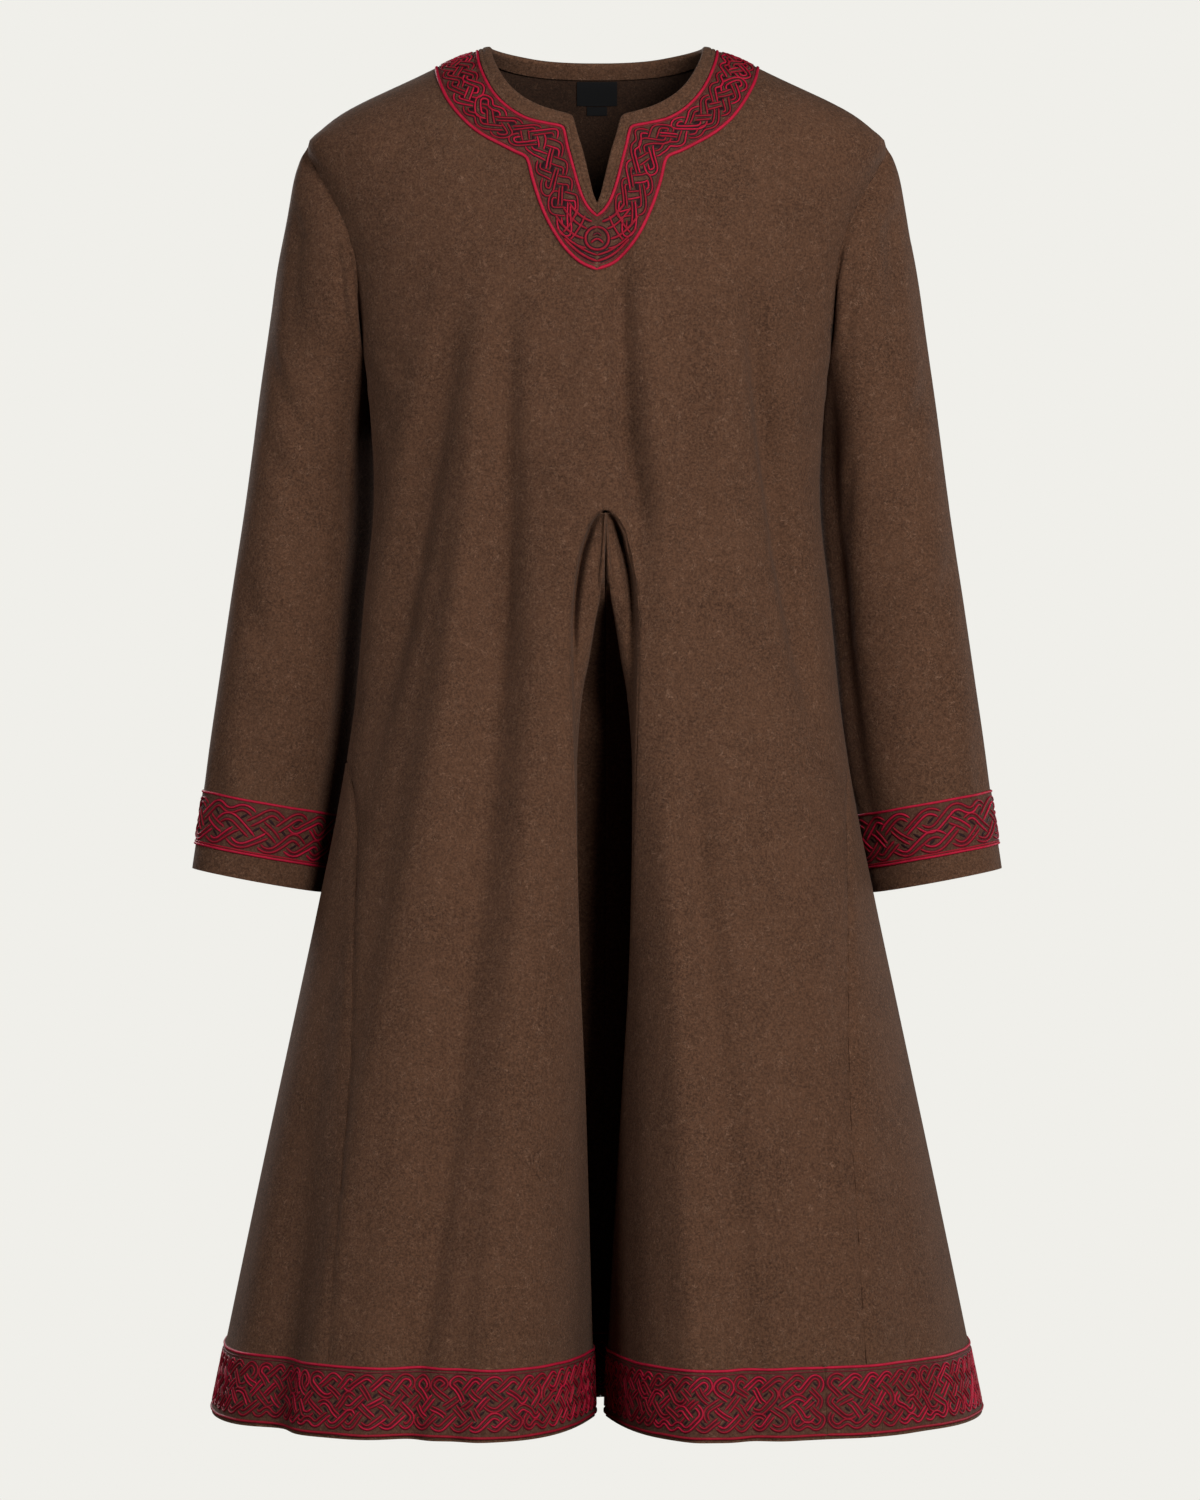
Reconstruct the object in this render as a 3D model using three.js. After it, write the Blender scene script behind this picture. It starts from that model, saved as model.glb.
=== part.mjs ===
// A knee-length wool tunic with a slit neck, set-in sleeves, side gores and a folded centre-front gore.
// Millimetres, +Z up. The front faces -Y and the wearer's left side is at +X. The origin lies between the
// shoulders, at the middle height of the shoulder seams, where the wearer carries the garment.
import * as THREE from 'three';

// ---------- driving sizes ----------
const CLOTH = 2.0;            // thickness of the fulled wool
const SEAM_GAP = 0.3;         // clearance between two pieces that are sewn together
const ARMHOLE_GAP = 0.6;      // the same at the armholes, where the pieces meet at a turn
const BAND_LIFT = 0.3;        // clearance between a band and the panel under it
const BAND_THICKNESS = 1.2;   // an embroidered band
const BINDING_THICKNESS = 1.0;
const LABEL_THICKNESS = 0.7;

const HEM_Z = -1111;          // hem edge
const SHOULDER_Z = -41.7;     // shoulder point, the top of the armhole
const UNDERARM_Z = -215;      // bottom of the armhole
const ARMHOLE_BITE = 21;      // degrees by which the armhole cuts into the front and the back
const GORE_APEX_Z = -356;     // point of the centre-front gore
const SIDE_GORE_TOP_Z = -560; // point of the side gores
const LEVEL_Z = -565;         // below this height the rows of a panel are level all round

// Half the width of the body, down the shoulder seam, past the armhole and down the side.
const silhouette = [
  { z: 42.8, halfWidth: 90.5 }, { z: 39.9, halfWidth: 98 }, { z: 34.9, halfWidth: 115.5 },
  { z: 24.4, halfWidth: 137.5 }, { z: 14.4, halfWidth: 158 }, { z: 4.2, halfWidth: 180 },
  { z: -6, halfWidth: 201.6 }, { z: -16.2, halfWidth: 220 }, { z: -26.4, halfWidth: 233.5 },
  { z: SHOULDER_Z, halfWidth: 248 }, { z: -78, halfWidth: 237 }, { z: -130, halfWidth: 220 },
  { z: -172, halfWidth: 208 }, { z: UNDERARM_Z, halfWidth: 200 }, { z: -256, halfWidth: 195.5 },
  { z: -341, halfWidth: 190 }, { z: -427, halfWidth: 198 }, { z: -512, halfWidth: 206 },
  { z: -597, halfWidth: 219 }, { z: -682, halfWidth: 236 }, { z: -767, halfWidth: 254 },
  { z: -937, halfWidth: 290 }, { z: HEM_Z, halfWidth: 326 },
];

// Depth of the body in front of and behind the side seams, and how square its section is (2 is an ellipse).
const depths = [
  { z: 42.8, front: 40, back: 42, square: 2.1 }, { z: 36.8, front: 48, back: 50, square: 2.1 },
  { z: 23, front: 61, back: 58, square: 2.1 }, { z: 0, front: 77, back: 72, square: 2.1 },
  { z: -42, front: 95, back: 92, square: 2.1 }, { z: -100, front: 108, back: 106, square: 2.15 },
  { z: -215, front: 119, back: 112, square: 2.2 }, { z: -341, front: 121, back: 106, square: 2.2 },
  { z: -450, front: 129, back: 113, square: 2.2 }, { z: -600, front: 153, back: 132, square: 2.3 },
  { z: -760, front: 182, back: 153, square: 2.35 }, { z: -930, front: 213, back: 177, square: 2.4 },
  { z: HEM_Z, front: 246, back: 202, square: 2.4 },
];

// The centre-front pleat: half the gap between the panel edges, how far the edges roll in and over what
// width, how much deeper the gore goes, and how far each half of the gore bellies out.
const pleat = [
  { z: GORE_APEX_Z, halfGap: 0, rollIn: 0, rollWidth: 20, depth: 0, belly: 0 },
  { z: -363, halfGap: 9.5, rollIn: 0.6, rollWidth: 20, depth: 4, belly: 1 },
  { z: -375, halfGap: 16, rollIn: 1, rollWidth: 20, depth: 9, belly: 2 },
  { z: -395, halfGap: 21.5, rollIn: 2, rollWidth: 20, depth: 16, belly: 4 },
  { z: -420, halfGap: 25.5, rollIn: 4, rollWidth: 20, depth: 24, belly: 6 },
  { z: -450, halfGap: 27.5, rollIn: 7, rollWidth: 21, depth: 33, belly: 7 },
  { z: -520, halfGap: 26.5, rollIn: 15, rollWidth: 23, depth: 46, belly: 8 },
  { z: -620, halfGap: 23.2, rollIn: 34, rollWidth: 26, depth: 58, belly: 9 },
  { z: -742, halfGap: 20, rollIn: 66, rollWidth: 29, depth: 66, belly: 10 },
  { z: -836, halfGap: 15.3, rollIn: 93, rollWidth: 31, depth: 71, belly: 11 },
  { z: -997, halfGap: 8.5, rollIn: 140, rollWidth: 32, depth: 77, belly: 13 },
  { z: HEM_Z, halfGap: 4.5, rollIn: 178, rollWidth: 32, depth: 80, belly: 14 },
];

// Where the seam of a side gore runs, measured across from the middle of the garment.
const sideGoreSeam = [
  { z: SIDE_GORE_TOP_Z, across: 213.5 }, { z: -620, across: 211 }, { z: -800, across: 210 },
  { z: -961, across: 216 }, { z: HEM_Z, across: 222 },
];

// The largest folds, as soft troughs in the body. Each runs down through three points and has a width and
// a depth; a fold that ends at the hem keeps its depth there.
const folds = [
  { face: 'front', zTop: -120, zEnd: -320, top: -143, middle: -156, end: -176, width: 22, depth: 6 },
  { face: 'front', zTop: -200, zEnd: HEM_Z, top: -104, middle: -187, end: -262, width: 30, depth: 15 },
  { face: 'front', zTop: -240, zEnd: HEM_Z, top: -54, middle: -79, end: -118, width: 27, depth: 12 },
  { face: 'front', zTop: -235, zEnd: -470, top: 147, middle: 160, end: 176, width: 20, depth: 6 },
  { face: 'front', zTop: -560, zEnd: HEM_Z, top: 138, middle: 152, end: 172, width: 26, depth: 7 },
  { face: 'front', zTop: -240, zEnd: -400, top: 27, middle: 29, end: 38, width: 17, depth: 4 },
  { face: 'back', zTop: -170, zEnd: HEM_Z, top: -92, middle: -118, end: -150, width: 34, depth: 15 },
  { face: 'back', zTop: -300, zEnd: HEM_Z, top: -18, middle: -28, end: -42, width: 32, depth: 17 },
  { face: 'back', zTop: -230, zEnd: HEM_Z, top: 64, middle: 82, end: 98, width: 31, depth: 16 },
  { face: 'back', zTop: -200, zEnd: HEM_Z, top: 138, middle: 160, end: 205, width: 30, depth: 13 },
];
const FOLD_FADE = 0.35;       // share of a fold's length over which it comes in

// Stations round the neck. The panel is cut at edge, the binding ends at bound, the band at outer; each is
// across from the middle and up from the origin.
const frontNeck = [
  { edgeX: 0, edgeZ: -102.5, boundX: 0, boundZ: -110.5, outerX: 0, outerZ: -158.5 },
  { edgeX: 3.4, edgeZ: -94.5, boundX: 6.2, boundZ: -104.5, outerX: 12, outerZ: -153.5 },
  { edgeX: 5.9, edgeZ: -85, boundX: 10.8, boundZ: -96.5, outerX: 26, outerZ: -141.5 },
  { edgeX: 9, edgeZ: -71.5, boundX: 15, boundZ: -84, outerX: 39, outerZ: -122 },
  { edgeX: 12.4, edgeZ: -57.5, boundX: 19, boundZ: -69, outerX: 48.2, outerZ: -101 },
  { edgeX: 16.9, edgeZ: -42.5, boundX: 23, boundZ: -53, outerX: 54.2, outerZ: -82 },
  { edgeX: 21.8, edgeZ: -27, boundX: 27.5, boundZ: -35.5, outerX: 59.2, outerZ: -63.5 },
  { edgeX: 34, edgeZ: -23, boundX: 40.2, boundZ: -32.5, outerX: 70.4, outerZ: -57.5 },
  { edgeX: 48.4, edgeZ: -18, boundX: 55, boundZ: -29, outerX: 82.2, outerZ: -51 },
  { edgeX: 62.6, edgeZ: -9.8, boundX: 69.8, boundZ: -21, outerX: 98.4, outerZ: -41.5 },
  { edgeX: 75.2, edgeZ: 2.4, boundX: 83, boundZ: -8, outerX: 114.8, outerZ: -26.5 },
  { edgeX: 84.6, edgeZ: 18.8, boundX: 93.4, boundZ: 10.5, outerX: 128, outerZ: -6.4 },
  { edgeX: 89.4, edgeZ: 31, boundX: 98.2, boundZ: 25.5, outerX: 135, outerZ: 11.5 },
  { edgeX: 91.5, edgeZ: 42.4, boundX: 100.5, boundZ: 39.2, outerX: 137.5, outerZ: 24.4 },
];
const backNeck = [
  { edgeX: 0, edgeZ: 35.2, boundX: 0, boundZ: 22.8, outerX: 0, outerZ: -18 },
  { edgeX: 8.2, edgeZ: 35.2, boundX: 8.7, boundZ: 22.8, outerX: 8.7, outerZ: -17.8 },
  { edgeX: 16.4, edgeZ: 35.3, boundX: 17.4, boundZ: 22.9, outerX: 17.4, outerZ: -17.2 },
  { edgeX: 28, edgeZ: 35.6, boundX: 30, boundZ: 23.3, outerX: 33, outerZ: -16 },
  { edgeX: 40, edgeZ: 36.2, boundX: 43.5, boundZ: 24, outerX: 50, outerZ: -13.6 },
  { edgeX: 52, edgeZ: 37.2, boundX: 57, boundZ: 25.3, outerX: 69, outerZ: -12.6 },
  { edgeX: 64, edgeZ: 38.6, boundX: 70.5, boundZ: 27.4, outerX: 88, outerZ: -7.4 },
  { edgeX: 75, edgeZ: 40, boundX: 82.5, boundZ: 30.5, outerX: 106, outerZ: 0.6 },
  { edgeX: 84, edgeZ: 41.3, boundX: 92.5, boundZ: 34.6, outerX: 122.5, outerZ: 11 },
  { edgeX: 91.5, edgeZ: 42.4, boundX: 100.5, boundZ: 39.2, outerX: 137.5, outerZ: 24.4 },
];

// Heights of the rows of a panel at the side seam, from under the neck band to the hem.
const sideRows = [
  SHOULDER_Z, -85, -128, -172, UNDERARM_Z, -262, -272, -290, -318, -355, -398, -446, -500,
  SIDE_GORE_TOP_Z, -575, -595, -620, -680, -740, -800, -860, -922, -986, -1053, HEM_Z,
];
const NECK_ROWS = 4;                                   // edge, bound, middle of the band, outer
const ARMHOLE_ROWS = { first: 4, last: 8 };
const APEX_ROW = NECK_ROWS + sideRows.indexOf(-262);
const SIDE_GORE_ROW = NECK_ROWS + sideRows.indexOf(SIDE_GORE_TOP_Z);
const LAST_ROW = NECK_ROWS + sideRows.length - 1;      // the hem; the row above is the top of its band
const HEM_SPREAD = { front: 1.95, back: 1.1 };         // how columns crowd towards the middle at the hem
const SPREAD_BY_Z = -760;                              // where the columns have spread as at the hem
const HEM_BAND_JOINT = 11;                             // front column at which the ends of the hem band meet
const SIDE_GORE_COLUMNS = 8;
const FRONT_GORE_COLUMNS = 5;
const GORE_POINT_DROP = { front: 3, side: 6 };         // how far a gore's point stops short of its slit

// The sleeve: its outer and inner edge, its half depth and how far it hangs behind the side seam. The last
// three rows are the top of the cuff band, its bottom and the cuff edge.
const sleeveRows = [
  { outerX: 248, outerZ: SHOULDER_Z, innerX: 200, innerZ: UNDERARM_Z, halfDepth: 42, behind: 0 },
  { outerX: 257, outerZ: -66, innerX: 201.5, innerZ: -226, halfDepth: 48, behind: 4 },
  { outerX: 262.5, outerZ: -92, innerX: 199, innerZ: -241, halfDepth: 53, behind: 11 },
  { outerX: 269, outerZ: -130, innerX: 196.4, innerZ: -263, halfDepth: 56, behind: 19 },
  { outerX: 276.5, outerZ: -182, innerX: 192.8, innerZ: -294, halfDepth: 58, behind: 27 },
  { outerX: 285, outerZ: -240, innerX: 190.8, innerZ: -330, halfDepth: 59, behind: 30 },
  { outerX: 294, outerZ: -300, innerX: 192.4, innerZ: -372, halfDepth: 59, behind: 31 },
  { outerX: 304, outerZ: -365, innerX: 197.6, innerZ: -420, halfDepth: 58, behind: 31 },
  { outerX: 314, outerZ: -430, innerX: 202, innerZ: -471, halfDepth: 57, behind: 31 },
  { outerX: 323.5, outerZ: -495, innerX: 208.4, innerZ: -526, halfDepth: 55, behind: 31 },
  { outerX: 331.5, outerZ: -550, innerX: 216, innerZ: -576, halfDepth: 53, behind: 31 },
  { outerX: 336.5, outerZ: -588, innerX: 222, innerZ: -609, halfDepth: 52, behind: 31 },
  { outerX: 343.5, outerZ: -634.5, innerX: 231, innerZ: -655.5, halfDepth: 51, behind: 31 },
  { outerX: 346.5, outerZ: -655, innerX: 235, innerZ: -676, halfDepth: 51, behind: 31 },
];
const SLEEVE_COLUMNS = 16;
const SLEEVE_BLEND_ROWS = 4;                           // rows over which the armhole's shape fades
const CUFF_BAND_ROW = sleeveRows.length - 3;

// Soft troughs along the sleeves: the column and rows they run through, width in columns, and depth.
const sleeveFolds = [
  { column: 3.2, endColumn: 5.2, row: 3, endRow: 10, width: 1.1, depth: 4 },
  { column: 6.4, endColumn: 6.0, row: 2, endRow: 8, width: 0.9, depth: 4 },
  { column: 12.5, endColumn: 11.4, row: 3, endRow: 10, width: 1.1, depth: 5 },
  { column: 9.8, endColumn: 10.2, row: 2, endRow: 9, width: 0.9, depth: 4 },
];

// ---------- helpers ----------
const clamp01 = (t) => Math.min(1, Math.max(0, t));
const ease = (t) => clamp01(t) ** 2 * (3 - 2 * clamp01(t));
const mix = (a, b, t) => a + (b - a) * t;
const radians = (degrees) => degrees * Math.PI / 180;
const powSigned = (v, power) => Math.sign(v) * Math.abs(v) ** power;

// Reads column `key` of a table at height z, on a smooth curve that never overshoots its rows.
function atHeight(table, key, z) {
  let i = 0;
  while (i < table.length - 2 && z < table[i + 1].z) i += 1;
  const slope = (a) => (table[a + 1][key] - table[a][key]) / (table[a + 1].z - table[a].z);
  const tangent = (a) => {
    if (a === 0 || a === table.length - 1) return slope(Math.min(a, table.length - 2));
    const [before, after] = [slope(a - 1), slope(a)];
    return before * after <= 0 ? 0 : 2 * before * after / (before + after);
  };
  const step = table[i + 1].z - table[i].z;
  const t = clamp01((z - table[i].z) / step);
  const [h0, h1] = [table[i][key], table[i + 1][key]];
  const rise = h1 - h0;
  return h0 + t * (step * tangent(i) + t * (3 * rise - step * (2 * tangent(i) + tangent(i + 1))
    + t * (step * (tangent(i) + tangent(i + 1)) - 2 * rise)));
}

// ---------- the body as one surface ----------
// Sum of the folds at a place on the front or the back.
function foldDepth(face, x, z) {
  let total = 0;
  for (const fold of folds) {
    if (fold.face !== face) continue;
    const t = (z - fold.zTop) / (fold.zEnd - fold.zTop);
    if (t <= 0 || (t >= 1 && fold.zEnd > HEM_Z)) continue;
    const fade = ease(t / FOLD_FADE) * (fold.zEnd > HEM_Z ? ease((1 - t) / FOLD_FADE) : 1);
    const path = (1 - t) ** 2 * fold.top + 2 * t * (1 - t) * fold.middle + t * t * fold.end;
    total += fold.depth * fade * Math.exp(-(((x - path) / fold.width) ** 2));
  }
  return total;
}

// A point of the body at a height z and an angle: 0 is the middle of the front, a quarter turn is the
// wearer's left side and half a turn is the middle of the back.
function bodyPoint(angle, z) {
  const width = atHeight(silhouette, 'halfWidth', z);
  const power = 2 / atHeight(depths, 'square', z);
  const isFront = Math.cos(angle) >= 0;
  const depth = atHeight(depths, isFront ? 'front' : 'back', z);
  const x = width * powSigned(Math.sin(angle), power);
  const y = -depth * powSigned(Math.cos(angle), power);
  const fold = foldDepth(isFront ? 'front' : 'back', x, z) * Math.abs(Math.cos(angle));
  const outward = new THREE.Vector3(x / width ** 2, y / depth ** 2, 0).normalize();
  const point = new THREE.Vector3(x, y, z).addScaledVector(outward, -fold);
  if (isFront && z < GORE_APEX_Z) {
    const fromEdge = Math.max(0, Math.abs(x) - atHeight(pleat, 'halfGap', z));
    point.y += atHeight(pleat, 'rollIn', z) * Math.exp(-fromEdge / atHeight(pleat, 'rollWidth', z));
  }
  return point;
}

// The angle at which the front of the body is `across` from the middle, at height z.
function angleAcross(across, z) {
  const share = clamp01(across / atHeight(silhouette, 'halfWidth', z));
  return Math.asin(share ** (atHeight(depths, 'square', z) / 2));
}

// Where the front ends: the shoulder seam, the armhole, the side seam, then the seam of the side gore.
function edgeAngle(z) {
  if (z < SHOULDER_Z && z > UNDERARM_Z) {
    const down = (SHOULDER_Z - z) / (SHOULDER_Z - UNDERARM_Z);
    return radians(90 - ARMHOLE_BITE * Math.sin(Math.PI * down) ** 0.8);
  }
  return z < SIDE_GORE_TOP_Z ? angleAcross(atHeight(sideGoreSeam, 'across', z), z) : Math.PI / 2;
}

// The slope of a surface at (u, v), as a unit vector that points out of the garment.
function surfaceNormal(surface, u, v, du, dv) {
  const alongU = surface(u + du, v).sub(surface(u - du, v));
  const alongV = surface(u, v + dv).sub(surface(u, v - dv));
  return alongU.cross(alongV).normalize();
}
const bodyNormal = (angle, z) => surfaceNormal(bodyPoint, angle, z, 0.004, 0.5);

// One half of the centre-front gore, from its seam (share 0) to the bottom of the pleat (share 1).
function gorePoint(side, share, z) {
  const edge = bodyPoint(side * angleAcross(atHeight(pleat, 'halfGap', z), z), z);
  const belly = atHeight(pleat, 'belly', z) * Math.sin(Math.PI * share) * side;
  return new THREE.Vector3(edge.x * (1 - share) + belly, edge.y + atHeight(pleat, 'depth', z) * share, z);
}
function goreNormal(side, share, z) {
  const inside = Math.min(0.98, Math.max(0.02, share));
  return surfaceNormal((u, v) => gorePoint(side, u, v), inside, z, 0.02, 0.5).multiplyScalar(-side);
}

const pleatEdgeNormal = (side, z) => bodyNormal(side * angleAcross(atHeight(pleat, 'halfGap', z), z), z);

// The direction that two pieces share at a seam, long enough to keep the cloth's thickness at the fold.
function mitre(a, b) {
  const shared = a.clone().add(b).normalize();
  return shared.multiplyScalar(1 / Math.max(0.55, shared.dot(a)));
}

// ---------- from rows of cells to solids ----------
// A cell is a point of the surface and the direction out of it.
const cell = (point, normal) => ({ point, normal });

// Moves a cell towards another one by a distance.
function pulled(from, towards, distance) {
  const step = towards.point.clone().sub(from.point).setLength(distance);
  return cell(from.point.clone().add(step), from.normal);
}

// The four-cornered faces between neighbouring rows and columns of a grid of cells.
function facesOf(grid) {
  const faces = [];
  for (let r = 0; r + 1 < grid.length; r += 1) {
    for (let c = 0; c + 1 < grid[r].length; c += 1) {
      faces.push([grid[r][c], grid[r + 1][c], grid[r + 1][c + 1], grid[r][c + 1]]);
    }
  }
  return faces;
}

// A closed wall of cloth: the faces moved out by `outer` and by `inner`, joined all round their free edges.
function wall(faces, inner, outer) {
  const corners = [];
  const places = new Map();
  const cornerOf = ({ point, normal }) => {
    const place = point.toArray().map((v) => Math.round(v * 1e3)).join();
    if (!places.has(place)) {
      places.set(place, corners.length);
      corners.push({ point, sum: new THREE.Vector3(), normals: [] });
    }
    const corner = corners[places.get(place)];
    corner.sum.add(normal);
    corner.normals.push(normal);
    return places.get(place);
  };
  const triangles = [];
  for (const face of faces) {
    const [a, b, c, d] = face.map(cornerOf);
    for (const triangle of [[a, b, c], [a, c, d]]) {
      if (new Set(triangle).size === 3) triangles.push(triangle);
    }
  }
  const positions = [];
  for (const offset of [outer, inner]) {
    for (const { point, sum, normals } of corners) {
      const length = Math.max(...normals.map((n) => n.length()));
      const direction = sum.clone().normalize();
      const lean = Math.min(...normals.map((n) => n.clone().normalize().dot(direction)));
      positions.push(...point.clone().addScaledVector(direction, offset * length / Math.max(0.55, lean)));
    }
  }
  const under = corners.length;
  const edges = new Set(triangles.flatMap(([a, b, c]) => [`${a} ${b}`, `${b} ${c}`, `${c} ${a}`]));
  const index = [];
  for (const [a, b, c] of triangles) {
    index.push(a, b, c, under + c, under + b, under + a);
    for (const [from, to] of [[a, b], [b, c], [c, a]]) {
      if (edges.has(`${to} ${from}`)) continue;
      const leansDown = corners[from].point.z > corners[to].point.z;
      if (leansDown) index.push(to, from, under + to, from, under + from, under + to);
      else index.push(to, from, under + from, to, under + from, under + to);
    }
  }
  return solidFrom(positions, index);
}

function solidFrom(positions, index) {
  const geometry = new THREE.BufferGeometry();
  geometry.setAttribute('position', new THREE.Float32BufferAttribute(positions, 3));
  geometry.setIndex(index);
  geometry.computeVertexNormals();
  return geometry;
}

// ---------- sleeves ----------
// Points of one sleeve: row by row from the armhole down, each row a ring that starts at the outer edge and
// goes round by the front. The first ring is the armhole itself.
function sleeveRings(side) {
  const armhole = armholeLoop(side);
  return sleeveRows.map((row, r) => {
    const ring = [];
    for (let c = 0; c < SLEEVE_COLUMNS; c += 1) {
      const point = sleeveSection(row, side, c);
      const keep = 1 - ease(r / SLEEVE_BLEND_ROWS);
      point.addScaledVector(armhole[c].clone().sub(sleeveSection(sleeveRows[0], side, c)), keep);
      ring.push(point);
    }
    return ring.map((point, c) => {
      const across = ring[(c + 1) % SLEEVE_COLUMNS].clone().sub(ring.at(c - 1));
      const inward = new THREE.Vector3(0, 0, 1).cross(across).normalize().multiplyScalar(side);
      return point.clone().addScaledVector(inward, sleeveFoldDepth(c, r));
    });
  });
}

function sleeveSection(row, side, column) {
  const turn = 2 * Math.PI * column / SLEEVE_COLUMNS;
  const outward = 0.5 + 0.5 * Math.cos(turn);
  return new THREE.Vector3(
    side * mix(row.innerX, row.outerX, outward),
    row.behind - row.halfDepth * Math.sin(turn),
    mix(row.innerZ, row.outerZ, outward),
  );
}

function sleeveFoldDepth(column, row) {
  let total = 0;
  for (const fold of sleeveFolds) {
    const t = (row - fold.row) / (fold.endRow - fold.row);
    if (t <= 0 || t >= 1) continue;
    const path = mix(fold.column, fold.endColumn, t);
    total += fold.depth * Math.sin(Math.PI * t) * Math.exp(-(((column - path) / fold.width) ** 2));
  }
  return total;
}

// The armhole, from the shoulder point down the front to the underarm and up the back. Its points are the
// corners of the panels and the middles between them.
function armholeLoop(side) {
  const heights = sideRows.slice(0, ARMHOLE_ROWS.last - ARMHOLE_ROWS.first + 1);
  const front = heights.map((z) => bodyPoint(side * edgeAngle(z), z));
  const back = heights.map((z) => bodyPoint(side * (Math.PI - edgeAngle(z)), z)).reverse();
  const corners = [...front, ...back.slice(1, -1)];
  const halfway = (corner, i) => corner.clone().lerp(corners[(i + 1) % corners.length], 0.5);
  return corners.flatMap((corner, i) => [corner, halfway(corner, i)]);
}

// Cells of one sleeve, with a first ring whose directions are shared with the panels.
function sleeveGrid(side) {
  const rings = sleeveRings(side);
  const grid = rings.map((ring, r) => ring.map((point, c) => {
    const across = ring[(c + 1) % SLEEVE_COLUMNS].clone().sub(ring.at(c - 1));
    const down = rings[Math.min(r + 1, rings.length - 1)][c].clone().sub(rings[Math.max(r - 1, 0)][c]);
    return cell(point, across.cross(down).normalize().multiplyScalar(side));
  }));
  const heights = sideRows.slice(0, ARMHOLE_ROWS.last - ARMHOLE_ROWS.first + 1);
  const backHeights = heights.slice(1, -1).reverse();
  const angles = [
    ...heights.map((z) => [edgeAngle(z), z]),
    ...backHeights.map((z) => [Math.PI - edgeAngle(z), z]),
  ];
  angles.forEach(([angle, z], i) => {
    const first = grid[0][2 * i];
    first.normal = first.normal.clone().add(bodyNormal(side * angle, z)).normalize();
  });
  for (let c = 1; c < SLEEVE_COLUMNS; c += 2) {
    const next = grid[0][(c + 1) % SLEEVE_COLUMNS].normal;
    grid[0][c].normal = grid[0][c - 1].normal.clone().add(next).multiplyScalar(0.5);
  }
  return grid;
}

const sleeves = { right: sleeveGrid(-1), left: sleeveGrid(1) };
const sleeveOf = (side) => (side > 0 ? sleeves.left : sleeves.right);

// Closes each ring of a sleeve and puts the columns in the order that faces out.
function closedRings(rings, side) {
  return rings.map((ring) => (side > 0 ? [ring[0], ...ring.slice().reverse()] : [...ring, ring[0]]));
}

// ---------- panels ----------
// A cell of the front (face 1) or the back (face -1), counted in columns from its middle to its edge.
function panelCell(face, side, row, column) {
  const neck = face > 0 ? frontNeck : backNeck;
  const lastColumn = neck.length - 1;
  const station = neck[column];
  const toAngle = (angle) => (face > 0 ? side * angle : side * (Math.PI - angle));
  if (row < NECK_ROWS) {
    const places = [
      [station.edgeX, station.edgeZ], [station.boundX, station.boundZ],
      [mix(station.boundX, station.outerX, 0.5), mix(station.boundZ, station.outerZ, 0.5)],
      [station.outerX, station.outerZ],
    ];
    const [x, z] = places[row];
    const onSeam = column === lastColumn;
    const angle = toAngle(onSeam ? Math.PI / 2 : angleAcross(x, z));
    const height = onSeam ? shoulderHeight(x) : z;
    return cell(bodyPoint(angle, height), bodyNormal(angle, height));
  }
  const seamTop = neck[lastColumn].outerZ;
  const sideZ = sideRows[row - NECK_ROWS];
  const fade = clamp01((sideZ - LEVEL_Z) / (seamTop - LEVEL_Z));
  const z = face > 0 && row === APEX_ROW && column === 0
    ? GORE_APEX_Z : sideZ + (station.outerZ - seamTop) * fade;
  const inner = face > 0 && row > APEX_ROW ? angleAcross(atHeight(pleat, 'halfGap', z), z) : 0;
  const startShare = angleAcross(station.outerX, station.outerZ) / edgeAngle(station.outerZ);
  const hemShare = (column / lastColumn) ** (face > 0 ? HEM_SPREAD.front : HEM_SPREAD.back);
  const share = mix(startShare, hemShare, ease((station.outerZ - z) / (station.outerZ - SPREAD_BY_Z)));
  const angle = toAngle(mix(inner, edgeAngle(z), column === lastColumn ? 1 : share));
  const made = cell(bodyPoint(angle, z), bodyNormal(angle, z));
  if (column === lastColumn && row >= ARMHOLE_ROWS.first && row <= ARMHOLE_ROWS.last) {
    const around = 2 * (row - ARMHOLE_ROWS.first);
    const ringColumn = face > 0 ? around : (SLEEVE_COLUMNS - around) % SLEEVE_COLUMNS;
    made.normal = sleeveOf(side)[0][ringColumn].normal;
  }
  if (face > 0 && row > APEX_ROW && column === 0) {
    made.normal = mitre(made.normal, goreNormal(side, 0, z));
  }
  return made;
}

// Height of the shoulder seam at a distance from the middle.
function shoulderHeight(across) {
  let [low, high] = [SHOULDER_Z, silhouette[0].z];
  while (high - low > 1e-6) {
    const middle = (low + high) / 2;
    if (atHeight(silhouette, 'halfWidth', middle) > across) low = middle;
    else high = middle;
  }
  return low;
}

// Half a panel as a grid, with the columns in the order that faces out.
function halfPanel(face, side) {
  const columns = (face > 0 ? frontNeck : backNeck).length;
  const grid = [];
  for (let row = 0; row <= LAST_ROW; row += 1) {
    const cells = Array.from({ length: columns }, (_, column) => panelCell(face, side, row, column));
    grid.push(face * side > 0 ? cells : cells.reverse());
  }
  return grid;
}

// Leaves half a seam's gap at the side edge, and below the apex also at the edge of the front gore.
function trimmed(grid, face, side) {
  const edgeLast = face * side > 0;
  return grid.map((row, r) => {
    const cells = [...row];
    const pull = (from, to) => { cells[from] = pulled(row[from], row[to], SEAM_GAP / 2); };
    if (edgeLast) pull(row.length - 1, row.length - 2);
    else pull(0, 1);
    if (face > 0 && r > APEX_ROW) {
      if (edgeLast) pull(0, 1);
      else pull(row.length - 1, row.length - 2);
    }
    return cells;
  });
}

const half = {
  frontLeft: halfPanel(1, 1), frontRight: halfPanel(1, -1),
  backLeft: halfPanel(-1, 1), backRight: halfPanel(-1, -1),
};

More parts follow.
